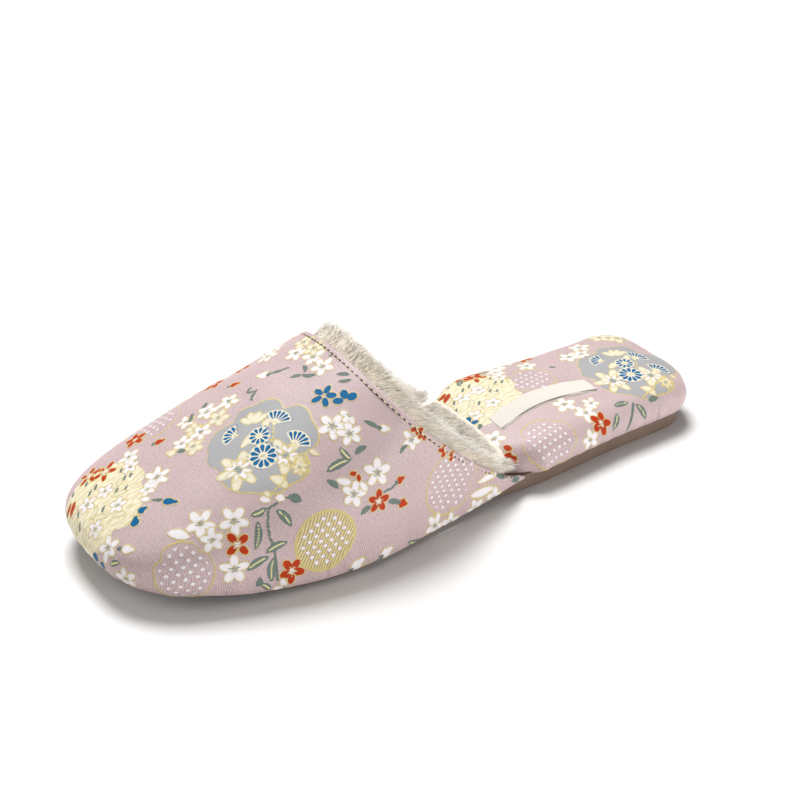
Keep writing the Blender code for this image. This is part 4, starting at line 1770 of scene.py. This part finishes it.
    def heel_cover(self, finish: Material) -> Object:
        """Builds the padded brocade cover of the heel.

        Args:
            finish: The brocade.

        Returns:
            The piece.
        """
        p, q = self.heel_grid(self.columns, self.heel_rows)
        skin, side = self.surface(p, q)
        across, along = arc_lengths(skin, 1, self.columns // 2), arc_lengths(skin, 0, self.heel_rows - 1)
        normal = grid_normals(skin)
        drop = np.maximum(LAST.footbed_top(skin[..., 1]) - skin[..., 2], 0.0)
        chart = np.stack([skin[..., 0] - LAST.centre_line(skin[..., 1]), skin[..., 1]], axis=-1)
        cloth = Cloth(skin, chart + unit(normal[..., :2]) * drop[..., None], side < 0.95)
        weave(cloth, HEEL_MOTIFS, 500)
        swell = np.zeros_like(skin)
        swell = self.spread(self.inflated(finish), self.heel_rows, self.columns)
        rng = np.random.default_rng(9)
        ring = np.arctan2(skin[..., 0], LAST.heel_end + 8.0 - skin[..., 1]) * 30.0
        around = np.where(skin[..., 1] < LAST.heel_end, ring, np.sign(p) * (skin[..., 1] + 20.0))
        pucker = np.sin(TURN * around / self.pucker_pitch + 1.3 * np.sin(around / 11.0))
        down = ease(0.35, 0.85, side) * (1.0 - ease(0.93, 1.0, side))
        slow = self.wadding[0] * waves(skin, self.wadding[1], 6, rng)
        form = pucker * self.pucker * down + slow * (1.0 - ease(0.9, 1.0, side))
        off_seam = (LAST.share_at(self.seam) - q) * self.seam_scale
        dip = -self.seam_dip[0] * np.exp(-((off_seam / self.seam_dip[1]) ** 2))
        lift = cloth.relief(self.relief).reshape(p.shape) + form + dip
        skin = skin + swell + normal * lift[..., None]
        self.cover = skin.reshape(-1, 3)
        cover = build_piece("heel_cover", skin, [grid_faces(*p.shape)], finish)
        cloth.dress(cover, np.arange(p.size))
        add_cloth_map(cover, np.stack([across, along], axis=-1).reshape(-1, 2))
        return finish_piece(cover, "cushion_fabric", "footbed")

    def insole(self, pile: "Pile", finish: Material) -> Object:
        """Builds the plush insole from the seam to the toe, with its pile.

        Args:
            pile: Form of the pile.
            finish: The plush.

        Returns:
            The piece.
        """
        reach = 1.0 + self.side_span * self.insole_side
        start = LAST.share_at(self.seam - self.insole_lap)
        p, q = np.meshgrid(np.linspace(-reach, reach, self.front_columns),
                           np.linspace(start, reach, self.front_rows))
        skin = self.surface(p, q)[0]
        skin[..., 2] -= self.insole_sink
        normal = grid_normals(skin)
        y = skin[..., 1]
        shown = (y > self.seam - 1.0) & (y < self.insole_seen) & (np.abs(p) < 1.02)
        lay = np.broadcast_to(np.array(self.insole_lay), skin.shape)
        near = 1.0 - ease(*(self.seam + d for d in self.insole_dense), y)
        short, long = self.insole_nap
        length = short + (long - short) * ease(self.seam, self.seam + 5.0, y)
        strands = pile.grow(skin, normal, lay, shown * (0.35 + near), self.insole_strands, length, 21)
        beside = ease(self.seam + 16.0, self.seam + 4.0, strands.points[:, 1])
        strands.values[:, 1] -= self.insole_shadow * beside
        pad = build_furry("insole_plush", skin, [grid_faces(*p.shape)], strands, finish)
        return finish_piece(pad, "cushion_fabric", "footbed")


# ---- plush ---------------------------------------------------------------------------
@dataclass(frozen=True)
class Strands:
    """Pile as arrays: points, triangles, and each point's share from root to tip and shade."""

    points: Array
    faces: Array
    values: Array


@dataclass(frozen=True)
class Pile:
    """Three-sided tapering strands in one bend, rooted at random on a grid of points."""

    width: float = 0.3
    lift: float = 0.3  # how much a strand stands up from its backing
    wander: float = 0.2
    clump_pitch: float = 5.0
    clump_sway: float = 0.16  # how far the clumps lean sideways
    clump_tilt: float = 0.09  # how far they stand up or lie down
    lengths: Pair = (0.65, 1.2)  # shortest and longest share of the mean length
    widths: Pair = (0.7, 1.2)
    waist: float = 0.72  # share of its width that a strand has at its bend

    def grow(self, base: Array, normal: Array, lay: Array, weight: Array, count: int, length: float | Array,
             seed: int) -> Strands:
        """Grows strands over a grid.

        Args:
            base: Grid of points of the backing.
            normal: Unit normal at each.
            lay: Direction in which the pile is combed at each.
            weight: Density of strands at each, relative to its area.
            count: Number of strands.
            length: Their mean length, one number or one for each point.
            seed: Seed of their places and shapes.

        Returns:
            The strands' arrays.
        """
        rng = np.random.default_rng(seed)
        rows, columns = base.shape[:2]
        cell = np.cross(base[1:, :-1] - base[:-1, :-1], base[:-1, 1:] - base[:-1, :-1])
        chance = (np.linalg.norm(cell, axis=-1) * weight[:-1, :-1]).ravel()
        pick = rng.choice(len(chance), count, p=chance / chance.sum())
        r, c = pick // (columns - 1), pick % (columns - 1)
        u, v = rng.random((2, count, 1))

        def read(grid: Array) -> Array:
            """The grid's values at the roots, linearly within their cells."""
            top = grid[r, c] * (1 - v) + grid[r, c + 1] * v
            return top * (1 - u) + (grid[r + 1, c] * (1 - v) + grid[r + 1, c + 1] * v) * u

        root, up, comb = read(base), unit(read(normal)), unit(read(lay))
        sizes = np.broadcast_to(np.asarray(length, float), base.shape[:2])
        reach = read(sizes[..., None])[:, 0] * rng.uniform(*self.lengths, count)
        side = unit(np.cross(up, comb))
        sway = waves(root, self.clump_pitch, 5, np.random.default_rng(seed + 1))
        tilt = waves(root, self.clump_pitch * 1.6, 5, np.random.default_rng(seed + 2))
        heading = comb + side * (self.clump_sway * sway + rng.normal(0.0, self.wander, count))[:, None]
        rise = self.lift + self.clump_tilt * tilt + rng.normal(0.0, 0.1, count)
        heading = unit(heading + up * rise[:, None])
        bend = comb * 0.35 - up * 0.25 + side * (0.14 * sway)[:, None]
        middle = root + heading * (reach * 0.5)[:, None]
        tip = middle + unit(heading + bend) * (reach * 0.5)[:, None]
        thick = self.width * rng.uniform(*self.widths, count) / 2
        across = unit(np.cross(heading, up + 1e-3))
        third = unit(np.cross(across, heading))
        angles = [TURN * k / 3 for k in range(3)] * 2
        spokes = [across * math.cos(angle) + third * math.sin(angle) for angle in angles]
        rings = [(root if k < 3 else middle) + spoke * (thick * (1.0 if k < 3 else self.waist))[:, None]
                 for k, spoke in enumerate(spokes)]
        points = np.stack([*rings, tip], axis=1)
        quads = [(k, (k + 1) % 3, 3 + (k + 1) % 3, 3 + k) for k in range(3)]
        pattern = [t for a, b, c2, d in quads for t in ((a, b, c2), (a, c2, d))]
        pattern += [(3 + k, 3 + (k + 1) % 3, 6) for k in range(3)]
        faces = (np.array(pattern)[None] + 7 * np.arange(count)[:, None, None]).reshape(-1, 3)
        along = np.tile([0.0, 0.0, 0.0, 0.6, 0.6, 0.6, 1.0], count)
        shade = np.repeat(np.clip(0.5 + 0.22 * sway + rng.normal(0.0, 0.2, count), 0.0, 1.2), 7)
        return Strands(points.reshape(-1, 3), faces, np.stack([along, shade, np.zeros_like(along)], axis=1))


def build_furry(name: str, base: Array, faces: list[Array], strands: Strands,
                finish: Material) -> Object:
    """Makes one piece of a backing and the strands that grow on it.

    Args:
        name: The piece's name.
        base: Grid of points of the backing.
        faces: The backing's faces.
        strands: The pile.
        finish: The plush.

    Returns:
        The piece.
    """
    flat = base.reshape(-1, 3)
    piece = build_piece(name, np.concatenate([flat, strands.points]),
                        [*faces, strands.faces + len(flat)], finish)
    backing = np.tile([0.35, 0.45, 0.0], (len(flat), 1))
    add_values(piece, "pile", np.concatenate([backing, strands.values]))
    return piece


@dataclass
class Plushwork:
    """The plush that rolls out of the collar, and the lining of the vamp."""

    thick: float = 6.0  # of the roll at the crest of the foot
    thick_end: float = 3.4  # of the roll at its ends
    taper: Pair = (0.6, 1.0)  # values of a between which it thins
    out: float = 5.2  # how far it stands out of the collar
    depth: float = 16.0  # how far it reaches into the vamp
    end: float = 0.945  # value of a at its ends
    roll: float = 2.2  # how far its lip curls over the collar's edge
    lip_thin: float = 0.55  # share of its thickness that is lost at the lip
    root_thin: float = 0.75  # and at its inner end
    columns: int = 240
    ring: int = 36
    roll_strands: int = 19800
    lining_strands: int = 9000
    lining_span: Pair = (0.93, 0.86)  # largest values of a and b that the lining covers
    lining_gap: float = 0.8  # from the solid wall
    lining_seen: float = 200.0  # place along the foot past which its pile doesn't show
    strand: float = 4.6  # mean length of the pile

    def cuff_surface(self) -> tuple[Array, Array, Array, Array]:
        """The roll as a closed section carried along the collar.

        The section is an oval in reach along the wall and depth inside it: reach is its
        middle plus half its length times the cosine of an angle, depth follows the sine.

        Returns:
            Grid of points, the section's angle, the direction off the collar, and the place along it.
        """
        a, angle = np.meshgrid(np.linspace(-self.end, self.end, self.columns),
                               np.arange(self.ring) * TURN / self.ring, indexing="ij")
        half, middle = (self.depth + self.out) / 2, (self.depth - self.out) / 2
        reach = middle + half * np.cos(angle)
        b = LAST.off_collar(a, reach)
        lip = np.clip(-reach / self.out, 0.0, 1.0)
        inner = np.clip(reach / self.depth, 0.0, 1.0)
        thin = 1.0 - self.lip_thin * lip**2 - self.root_thin * inner**2
        thick = self.thick + (self.thick_end - self.thick) * ease(*self.taper, np.abs(a))
        deep = LAST.wall + 2.0 * LAST.gap - self.roll * lip + thick * thin * (np.sin(angle) + 1.0) / 2.0
        normal, _, along_b = LAST.vamp_frame(a, np.maximum(b, -1.0))
        return LAST.vamp(a, b) - normal * deep[..., None], angle, -along_b, a

    def collar_roll(self, pile: Pile, finish: Material) -> Object:
        """Builds the roll and combs its pile out of the collar and over the lip.

        Args:
            pile: Form of the pile.
            finish: The plush.

        Returns:
            The piece.
        """
        base, angle, off, place = self.cuff_surface()
        normal = -grid_normals(base)
        weight = ease(0.1, 0.5, angle) * (1.0 - ease(1.34 * math.pi, 1.42 * math.pi, angle))
        weight = weight * (1.0 + 1.6 * np.exp(-(((angle - 1.1 * math.pi) / 0.8) ** 2)))
        length = self.strand + 1.2 * np.exp(-(((angle - math.pi) / 0.9) ** 2))
        along = unit(np.gradient(base, axis=0))
        lay = off - along * (0.9 * ease(0.1, -0.4, place)[..., None])
        strands = pile.grow(base, normal, lay, weight, self.roll_strands, length, 41)
        numbers = np.arange(self.columns * self.ring).reshape(self.columns, self.ring)
        caps = np.stack([numbers[0], numbers[-1, ::-1]])
        sides = grid_faces(self.columns, self.ring, wrap=True)[:, ::-1]
        piece = build_furry("collar_plush", base, [sides, caps], strands, finish)
        return finish_piece(piece, "plush", "fur_cuff")

    def lining(self, pile: Pile, finish: Material) -> Object:
        """Builds the lining inside the vamp, from under the roll to the toe.

        Args:
            pile: Form of the pile.
            finish: The plush.

        Returns:
            The piece.
        """
        end_a, end_b = self.lining_span
        a, b = np.meshgrid(np.linspace(-end_a, end_a, 110), np.linspace(-end_b, end_b, 90))
        normal, _, along_b = LAST.vamp_frame(a, b)
        base = LAST.vamp(a, b) - normal * (LAST.wall + LAST.gap + self.lining_gap)
        shown = (base[..., 1] < self.lining_seen).astype(float)
        strands = pile.grow(base, -normal, -along_b, shown, self.lining_strands, self.strand, 61)
        faces = grid_faces(*a.shape)[:, ::-1]
        piece = build_furry("lining_plush", base, [faces], strands, finish)
        return finish_piece(piece, "plush", "upper")


# ---- stitches and label --------------------------------------------------------------
def build_stitches(name: str, path: Array, normal: Array, kinds: Array, length: float, radius: float,
                   sink: float, finish: Material) -> Object:
    """Makes one piece of stitches along a path: short tubes whose ends dive into the cloth.

    A tube's middle line sinks by the fourth power, and its radius shrinks by the sixth
    power, of the place along it, which goes from -1 to 1.

    Args:
        name: The piece's name.
        path: Middle of each stitch and its direction, as rows of six numbers.
        normal: Outward unit normal at each.
        kinds: 0 for a dark stitch and 1 for a light one.
        length: Length of a stitch.
        radius: Radius of its thread.
        sink: Depth of its ends below its middle.
        finish: The thread's material.

    Returns:
        The piece, with the kind and the place along the thread stored on its points.
    """
    sides, rings, count = 6, 7, len(path)
    s = np.linspace(-1.0, 1.0, rings)
    centre = path[:, None, :3] + path[:, None, 3:] * (s * length / 2)[None, :, None]
    centre = centre - normal[:, None] * (sink * s**4)[None, :, None]
    across = unit(np.cross(path[:, 3:], normal))
    angle = np.arange(sides) * TURN / sides
    spokes = across[:, None] * np.cos(angle)[None, :, None] + normal[:, None] * np.sin(angle)[None, :, None]
    size = radius * (1.0 - 0.45 * s**6)
    points = centre[:, :, None] + spokes[:, None] * size[None, :, None, None]
    tube = grid_faces(rings, sides, wrap=True)
    caps = np.array([list(range(sides))[::-1], list(range((rings - 1) * sides, rings * sides))])
    step = rings * sides * np.arange(count)[:, None, None]
    faces = [(tube[None] + step).reshape(-1, 4), (caps[None] + step).reshape(-1, sides)]
    piece = build_piece(name, points, faces, finish)
    along = (s * length / 2)[None, :, None] + np.arange(count)[:, None, None] * length
    values = np.broadcast_arrays(kinds[:, None, None], along, np.zeros((1, 1, sides)))
    add_values(piece, "stitch", np.stack(values, axis=-1).reshape(-1, 3))
    return piece


@dataclass
class Needlework:
    """The row of stitches that shows along the collar."""

    inset: float = 1.0  # distance of the collar's stitches from its edge
    end: float = 0.985  # value of a where they end
    stand: float = 0.12  # height of the thread's middle over the cloth
    pitch: float = 1.3
    length: float = 1.35
    radius: float = 0.24
    sink: float = 0.45

    def collar(self, finish: Material) -> Object:
        """Stitches at an even pitch along the collar, dark and light in turn.

        Args:
            finish: The thread.

        Returns:
            The piece.
        """
        a = np.linspace(-self.end, self.end, 1500)
        line = LAST.vamp(a, LAST.off_collar(a, self.inset))
        run = arc_lengths(line, 0, 0)
        places = np.interp(np.arange(run[0] + 1.0, run[-1] - 1.0, self.pitch), run, a)
        b = LAST.off_collar(places, self.inset)
        normal = LAST.vamp_frame(places, b)[0]
        middle = LAST.vamp(places, b) + normal * self.stand
        ahead = places + 1e-3
        direction = unit(LAST.vamp(ahead, LAST.off_collar(ahead, self.inset)) - LAST.vamp(places, b))
        kinds = (np.arange(len(places)) % 2).astype(float)
        path = np.concatenate([middle, direction], axis=1)
        piece = build_stitches("collar_stitches", path, normal, kinds, self.length, self.radius,
                               self.sink, finish)
        return finish_piece(piece, "brocade", "upper")


@dataclass
class Label:
    """A bare cream tape, bowed across the heel cushion and sewn along its near edge."""

    length: float = 46.0
    width: float = 9.6
    middle: float = 67.0
    side: float = -5.8
    bow: float = 3.9
    thick: float = 0.3
    rise: float = 0.1  # of its underside over the cover
    row: float = -0.9  # place of its stitches across it
    stitch: Triple = (1.1, 0.17, 0.16)  # their length, radius and sink
    stand: float = 0.12  # height of the thread's middle over the tape
    floor: float = 12.0  # below this height the cover's points are its turned-in edge
    cover: Array = field(default_factory=lambda: np.zeros((1, 3)))  # points of the cushion below

    def surface(self, s: Array, t: Array, lift: Array) -> Array:
        """Tape's face over the cushion's cover.

        Its height is the mean of the cover points', weighted by 1 over the fourth power of
        their distance.

        Args:
            s: Place across the tape, -1 to 1.
            t: Place along it, -1 to 1.
            lift: Height over the cover.

        Returns:
            Points.
        """
        y = self.middle + t * self.length / 2
        x = LAST.centre_line(y) + self.side + s * self.width / 2 - self.bow * t * t
        low = np.array([x.min(), y.min()]) - 3.0
        high = np.array([x.max(), y.max()]) + 3.0
        inside = (self.cover[:, :2] > low) & (self.cover[:, :2] < high)
        cover = self.cover[inside.all(axis=1) & (self.cover[:, 2] > self.floor)]
        z = np.empty(x.size)
        for number, (px, py) in enumerate(zip(x.ravel(), y.ravel())):
            weight = 1.0 / ((cover[:, 0] - px) ** 2 + (cover[:, 1] - py) ** 2 + 0.05) ** 2
            z[number] = weight @ cover[:, 2] / weight.sum()
        return np.stack([x, y, z.reshape(x.shape) + lift], axis=-1)

    def build(self, finish: Material) -> Object:
        """Builds the tape with a softly waved face and its edges turned down.

        Args:
            finish: The woven tape.

        Returns:
            The piece.
        """
        s, t = np.linspace(-1.0, 1.0, 25), np.linspace(-1.0, 1.0, 101)
        s, t = np.concatenate([[-1.0], s, [1.0]]), np.concatenate([[-1.0], t, [1.0]])
        grid_s, grid_t = np.meshgrid(s, t)
        down = np.zeros(grid_s.shape)
        down[[0, -1]] = 1.0
        down[:, [0, -1]] = 1.0
        wave = 0.14 * np.sin(grid_t * 9.0 + 0.8) * np.abs(grid_s) ** 2
        wave = wave + 0.1 * np.sin(grid_t * 5.0 + grid_s * 2.0)
        top = self.surface(grid_s, grid_t, self.rise + self.thick + wave - down * (self.thick + 0.3))
        tape = build_piece("label_tape", top, [grid_faces(*grid_s.shape)], finish)
        chart = np.stack([grid_s * self.width / 2, grid_t * self.length / 2], axis=-1)
        add_cloth_map(tape, chart.reshape(-1, 2))
        return finish_piece(tape, "woven_label", "label")

    def stitches(self, finish: Material) -> Object:
        """A dark sewing line just inside the tape's near edge: real stitches, whose dark thread also stands
        for the painted shade under that edge.

        Args:
            finish: The thread.

        Returns:
            The piece.
        """
        t = np.linspace(-0.97, 0.97, 44)
        lift = self.rise + self.thick + self.stand
        places = self.surface(np.full_like(t, self.row), t, lift)
        ahead = self.surface(np.full_like(t, self.row), t + 0.01, lift)
        normal = np.broadcast_to(np.array([0.0, 0.0, 1.0]), places.shape)
        path = np.concatenate([places, unit(ahead - places)], axis=1)
        piece = build_stitches("label_stitches", path, normal, np.zeros(len(t)), *self.stitch, finish)
        return finish_piece(piece, "woven_label", "label")


# ---- the sole ------------------------------------------------------------------------
@dataclass
class Sole:
    """Thin moulded sole with a rounded lower edge and a fine wavy tread."""

    inset: float = 2.8
    edge: float = 0.9
    columns: int = 64
    rows: int = 220
    side_steps: int = 9
    side_span: float = 0.2  # part of the grid, beyond the plan's rim, that goes up the side
    tread_depth: float = 0.55
    tread_pitch: float = 4.2
    tread_swing: Pair = (1.6, 3.4)  # how far a rib bends, and the width of its bends over a turn
    tread_margin: float = 4.0
    half_sole: float = 40.0  # from the sole's middle to its side, about

    def lower(self, p: Array, q: Array) -> Array:
        """Underside and side: beyond the rim the profile rounds the edge and goes up the side.

        Args:
            p: Grid value across.
            q: Grid value along.

        Returns:
            Points.
        """
        a, b, over = LAST.round_rim(p, q)
        climb = (over - 1.0) / self.side_span
        turn = np.clip(climb / 0.5, 0.0, 1.0) * math.pi / 2
        x, y = LAST.plan(a, b, self.inset + self.edge * (1.0 - np.sin(turn)))
        top = LAST.sole_top(y)
        start = LAST.sole_under(y) + self.edge * (1.0 - np.cos(turn))
        z = start + np.clip(climb / 0.5 - 1.0, 0.0, 1.0) * (top - start)
        inward = (1.0 - np.maximum(np.abs(a), np.abs(b))) * self.half_sole
        margin = ease(0.0, self.tread_margin, inward)
        swing, bend = self.tread_swing
        ribs = np.sin(TURN * (y + swing * np.sin(x / bend)) / self.tread_pitch)
        tread = self.tread_depth * ease(-0.1, 0.5, ribs) * margin * (over <= 1.0)
        return np.stack([x, y, z + tread], axis=-1)

    def build(self, finish: Material) -> Object:
        """Builds the lower sheet and the flat top, and closes them at the upper rim.

        Args:
            finish: The rubber.

        Returns:
            The piece.
        """
        rim = 1.0 + self.side_span
        step = np.linspace(1.0, rim, self.side_steps + 1)[1:]
        p = np.concatenate([-step[::-1], np.linspace(-1.0, 1.0, self.columns), step])
        q = np.concatenate([-step[::-1], np.linspace(-1.0, 1.0, self.rows), step])
        grid_p, grid_q = np.meshgrid(p, q)
        skin = self.lower(grid_p, grid_q)
        lid = skin.copy()
        over = np.maximum(np.maximum(np.abs(grid_p), np.abs(grid_q)), 1.0)
        inner = over < rim - 1e-9
        lid[..., 2] = np.where(inner, LAST.sole_top(lid[..., 1]), lid[..., 2])
        faces = grid_faces(*grid_p.shape)
        lid_faces = grid_faces(*grid_p.shape, first=grid_p.size)
        sole = build_piece("sole_rubber", np.concatenate([skin.reshape(-1, 3), lid.reshape(-1, 3)]),
                           [faces[:, ::-1], lid_faces], finish)
        weld = sole.modifiers.new("rim", "WELD")
        weld.merge_threshold = 1e-6
        return finish_piece(sole, "sole_rubber", "outsole")


# ---- studio --------------------------------------------------------------------------
@dataclass
class Studio:
    """Pale floor, soft lights and the camera."""

    eye: Triple = (-0.4930, 0.2979, 0.3590)
    lens: float = 80.6
    sensor: float = 36.0
    roll: float = math.radians(-0.45)
    glow: float = 0.1  # strength of the light from all round
    reach: float = 4000.0  # from the middle of the floor to its sides

    def floor(self) -> None:
        """A wide plain floor."""
        t = Tree("studio_floor", {"Roughness": 0.9, "Specular IOR Level": 0.1})
        cloud = t.noise(t.object_place(), 3.0, 2.0)
        material = t.finish(t.shade(srgb(233, 232, 231), cloud * 0.02 + 0.99))
        signs = np.array([[-1.0, -1.0, 0.0], [1.0, -1.0, 0.0], [1.0, 1.0, 0.0], [-1.0, 1.0, 0.0]])
        corners = signs * self.reach - SHIFT
        build_piece("floor", corners, [np.array([[0, 1, 2, 3]])], material, smooth=False)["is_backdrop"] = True

    def light(self, name: str, place: Triple, size: float, power: float) -> None:
        """A square area light that faces the slipper.

        Args:
            name: Its name.
            place: Where it stands.
            size: Side of its square.
            power: Its power in watts.
        """
        lamp = bpy.data.lights.new(name, "AREA")
        lamp.size, lamp.energy = size, power
        rig = bpy.data.objects.new(name, lamp)
        rig.location = place
        rig.rotation_euler = (-Vector(place)).to_track_quat("-Z", "Y").to_euler()
        bpy.context.scene.collection.objects.link(rig)

    def world(self) -> None:
        """Even pale light from all round."""
        world = bpy.data.worlds.new("studio")
        bpy.context.scene.world = world
        world.use_nodes = True
        background = world.node_tree.nodes["Background"]
        background.inputs["Color"].default_value = (1.0, 0.995, 0.985, 1.0)
        background.inputs["Strength"].default_value = self.glow

    def camera(self) -> None:
        """Looks down at the middle of the slipper from in front of its outer side."""
        low, high = (Vector(corner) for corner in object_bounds())
        camera = bpy.data.cameras.new("camera")
        camera.lens, camera.sensor_width = self.lens, self.sensor
        rig = bpy.data.objects.new("camera", camera)
        rig.location = self.eye
        aim = (low + high) / 2 - Vector(self.eye)
        turn = aim.to_track_quat("-Z", "Y").to_matrix() @ Matrix.Rotation(self.roll, 3, "Z")
        rig.rotation_euler = turn.to_euler()
        camera.clip_start, camera.clip_end = 0.01, 20.0
        bpy.context.scene.collection.objects.link(rig)
        bpy.context.scene.camera = rig

    def build(self) -> None:
        """Sets the studio up."""
        self.floor()
        self.world()
        self.light("key", (0.8, -0.2, 1.6), 0.8, 41.0)
        self.light("side", (0.3, 1.5, 1.1), 1.6, 12.5)
        self.light("fill", (-1.3, -0.7, 0.2), 0.4, 15.0)
        bpy.context.scene.view_settings.view_transform = "Standard"
        self.camera()


def main() -> None:
    """Builds the pieces in order, reports them and sets the studio up."""
    logging.basicConfig(level=logging.INFO, format="%(name)s: %(message)s")
    brocade, plush, thread = Brocade().material(), Plush().material(), StitchThread().material()
    footbed, plushwork, pile = Footbed(), Plushwork(), Pile()
    pieces = [Sole().build(Rubber().material()), footbed.heel_cover(brocade), footbed.insole(pile, plush)]
    pieces += [*Vamp().build(brocade), plushwork.lining(pile, plush), plushwork.collar_roll(pile, plush)]
    pieces.append(Needlework().collar(thread))
    label = Label(cover=footbed.cover)
    pieces += [label.build(Tape().material()), label.stitches(thread)]
    for piece in pieces:
        LOG.info("%s: %d points, %d faces", piece.name, len(piece.data.vertices), len(piece.data.polygons))
    Studio().build()


if __name__ == "__main__":
    main()
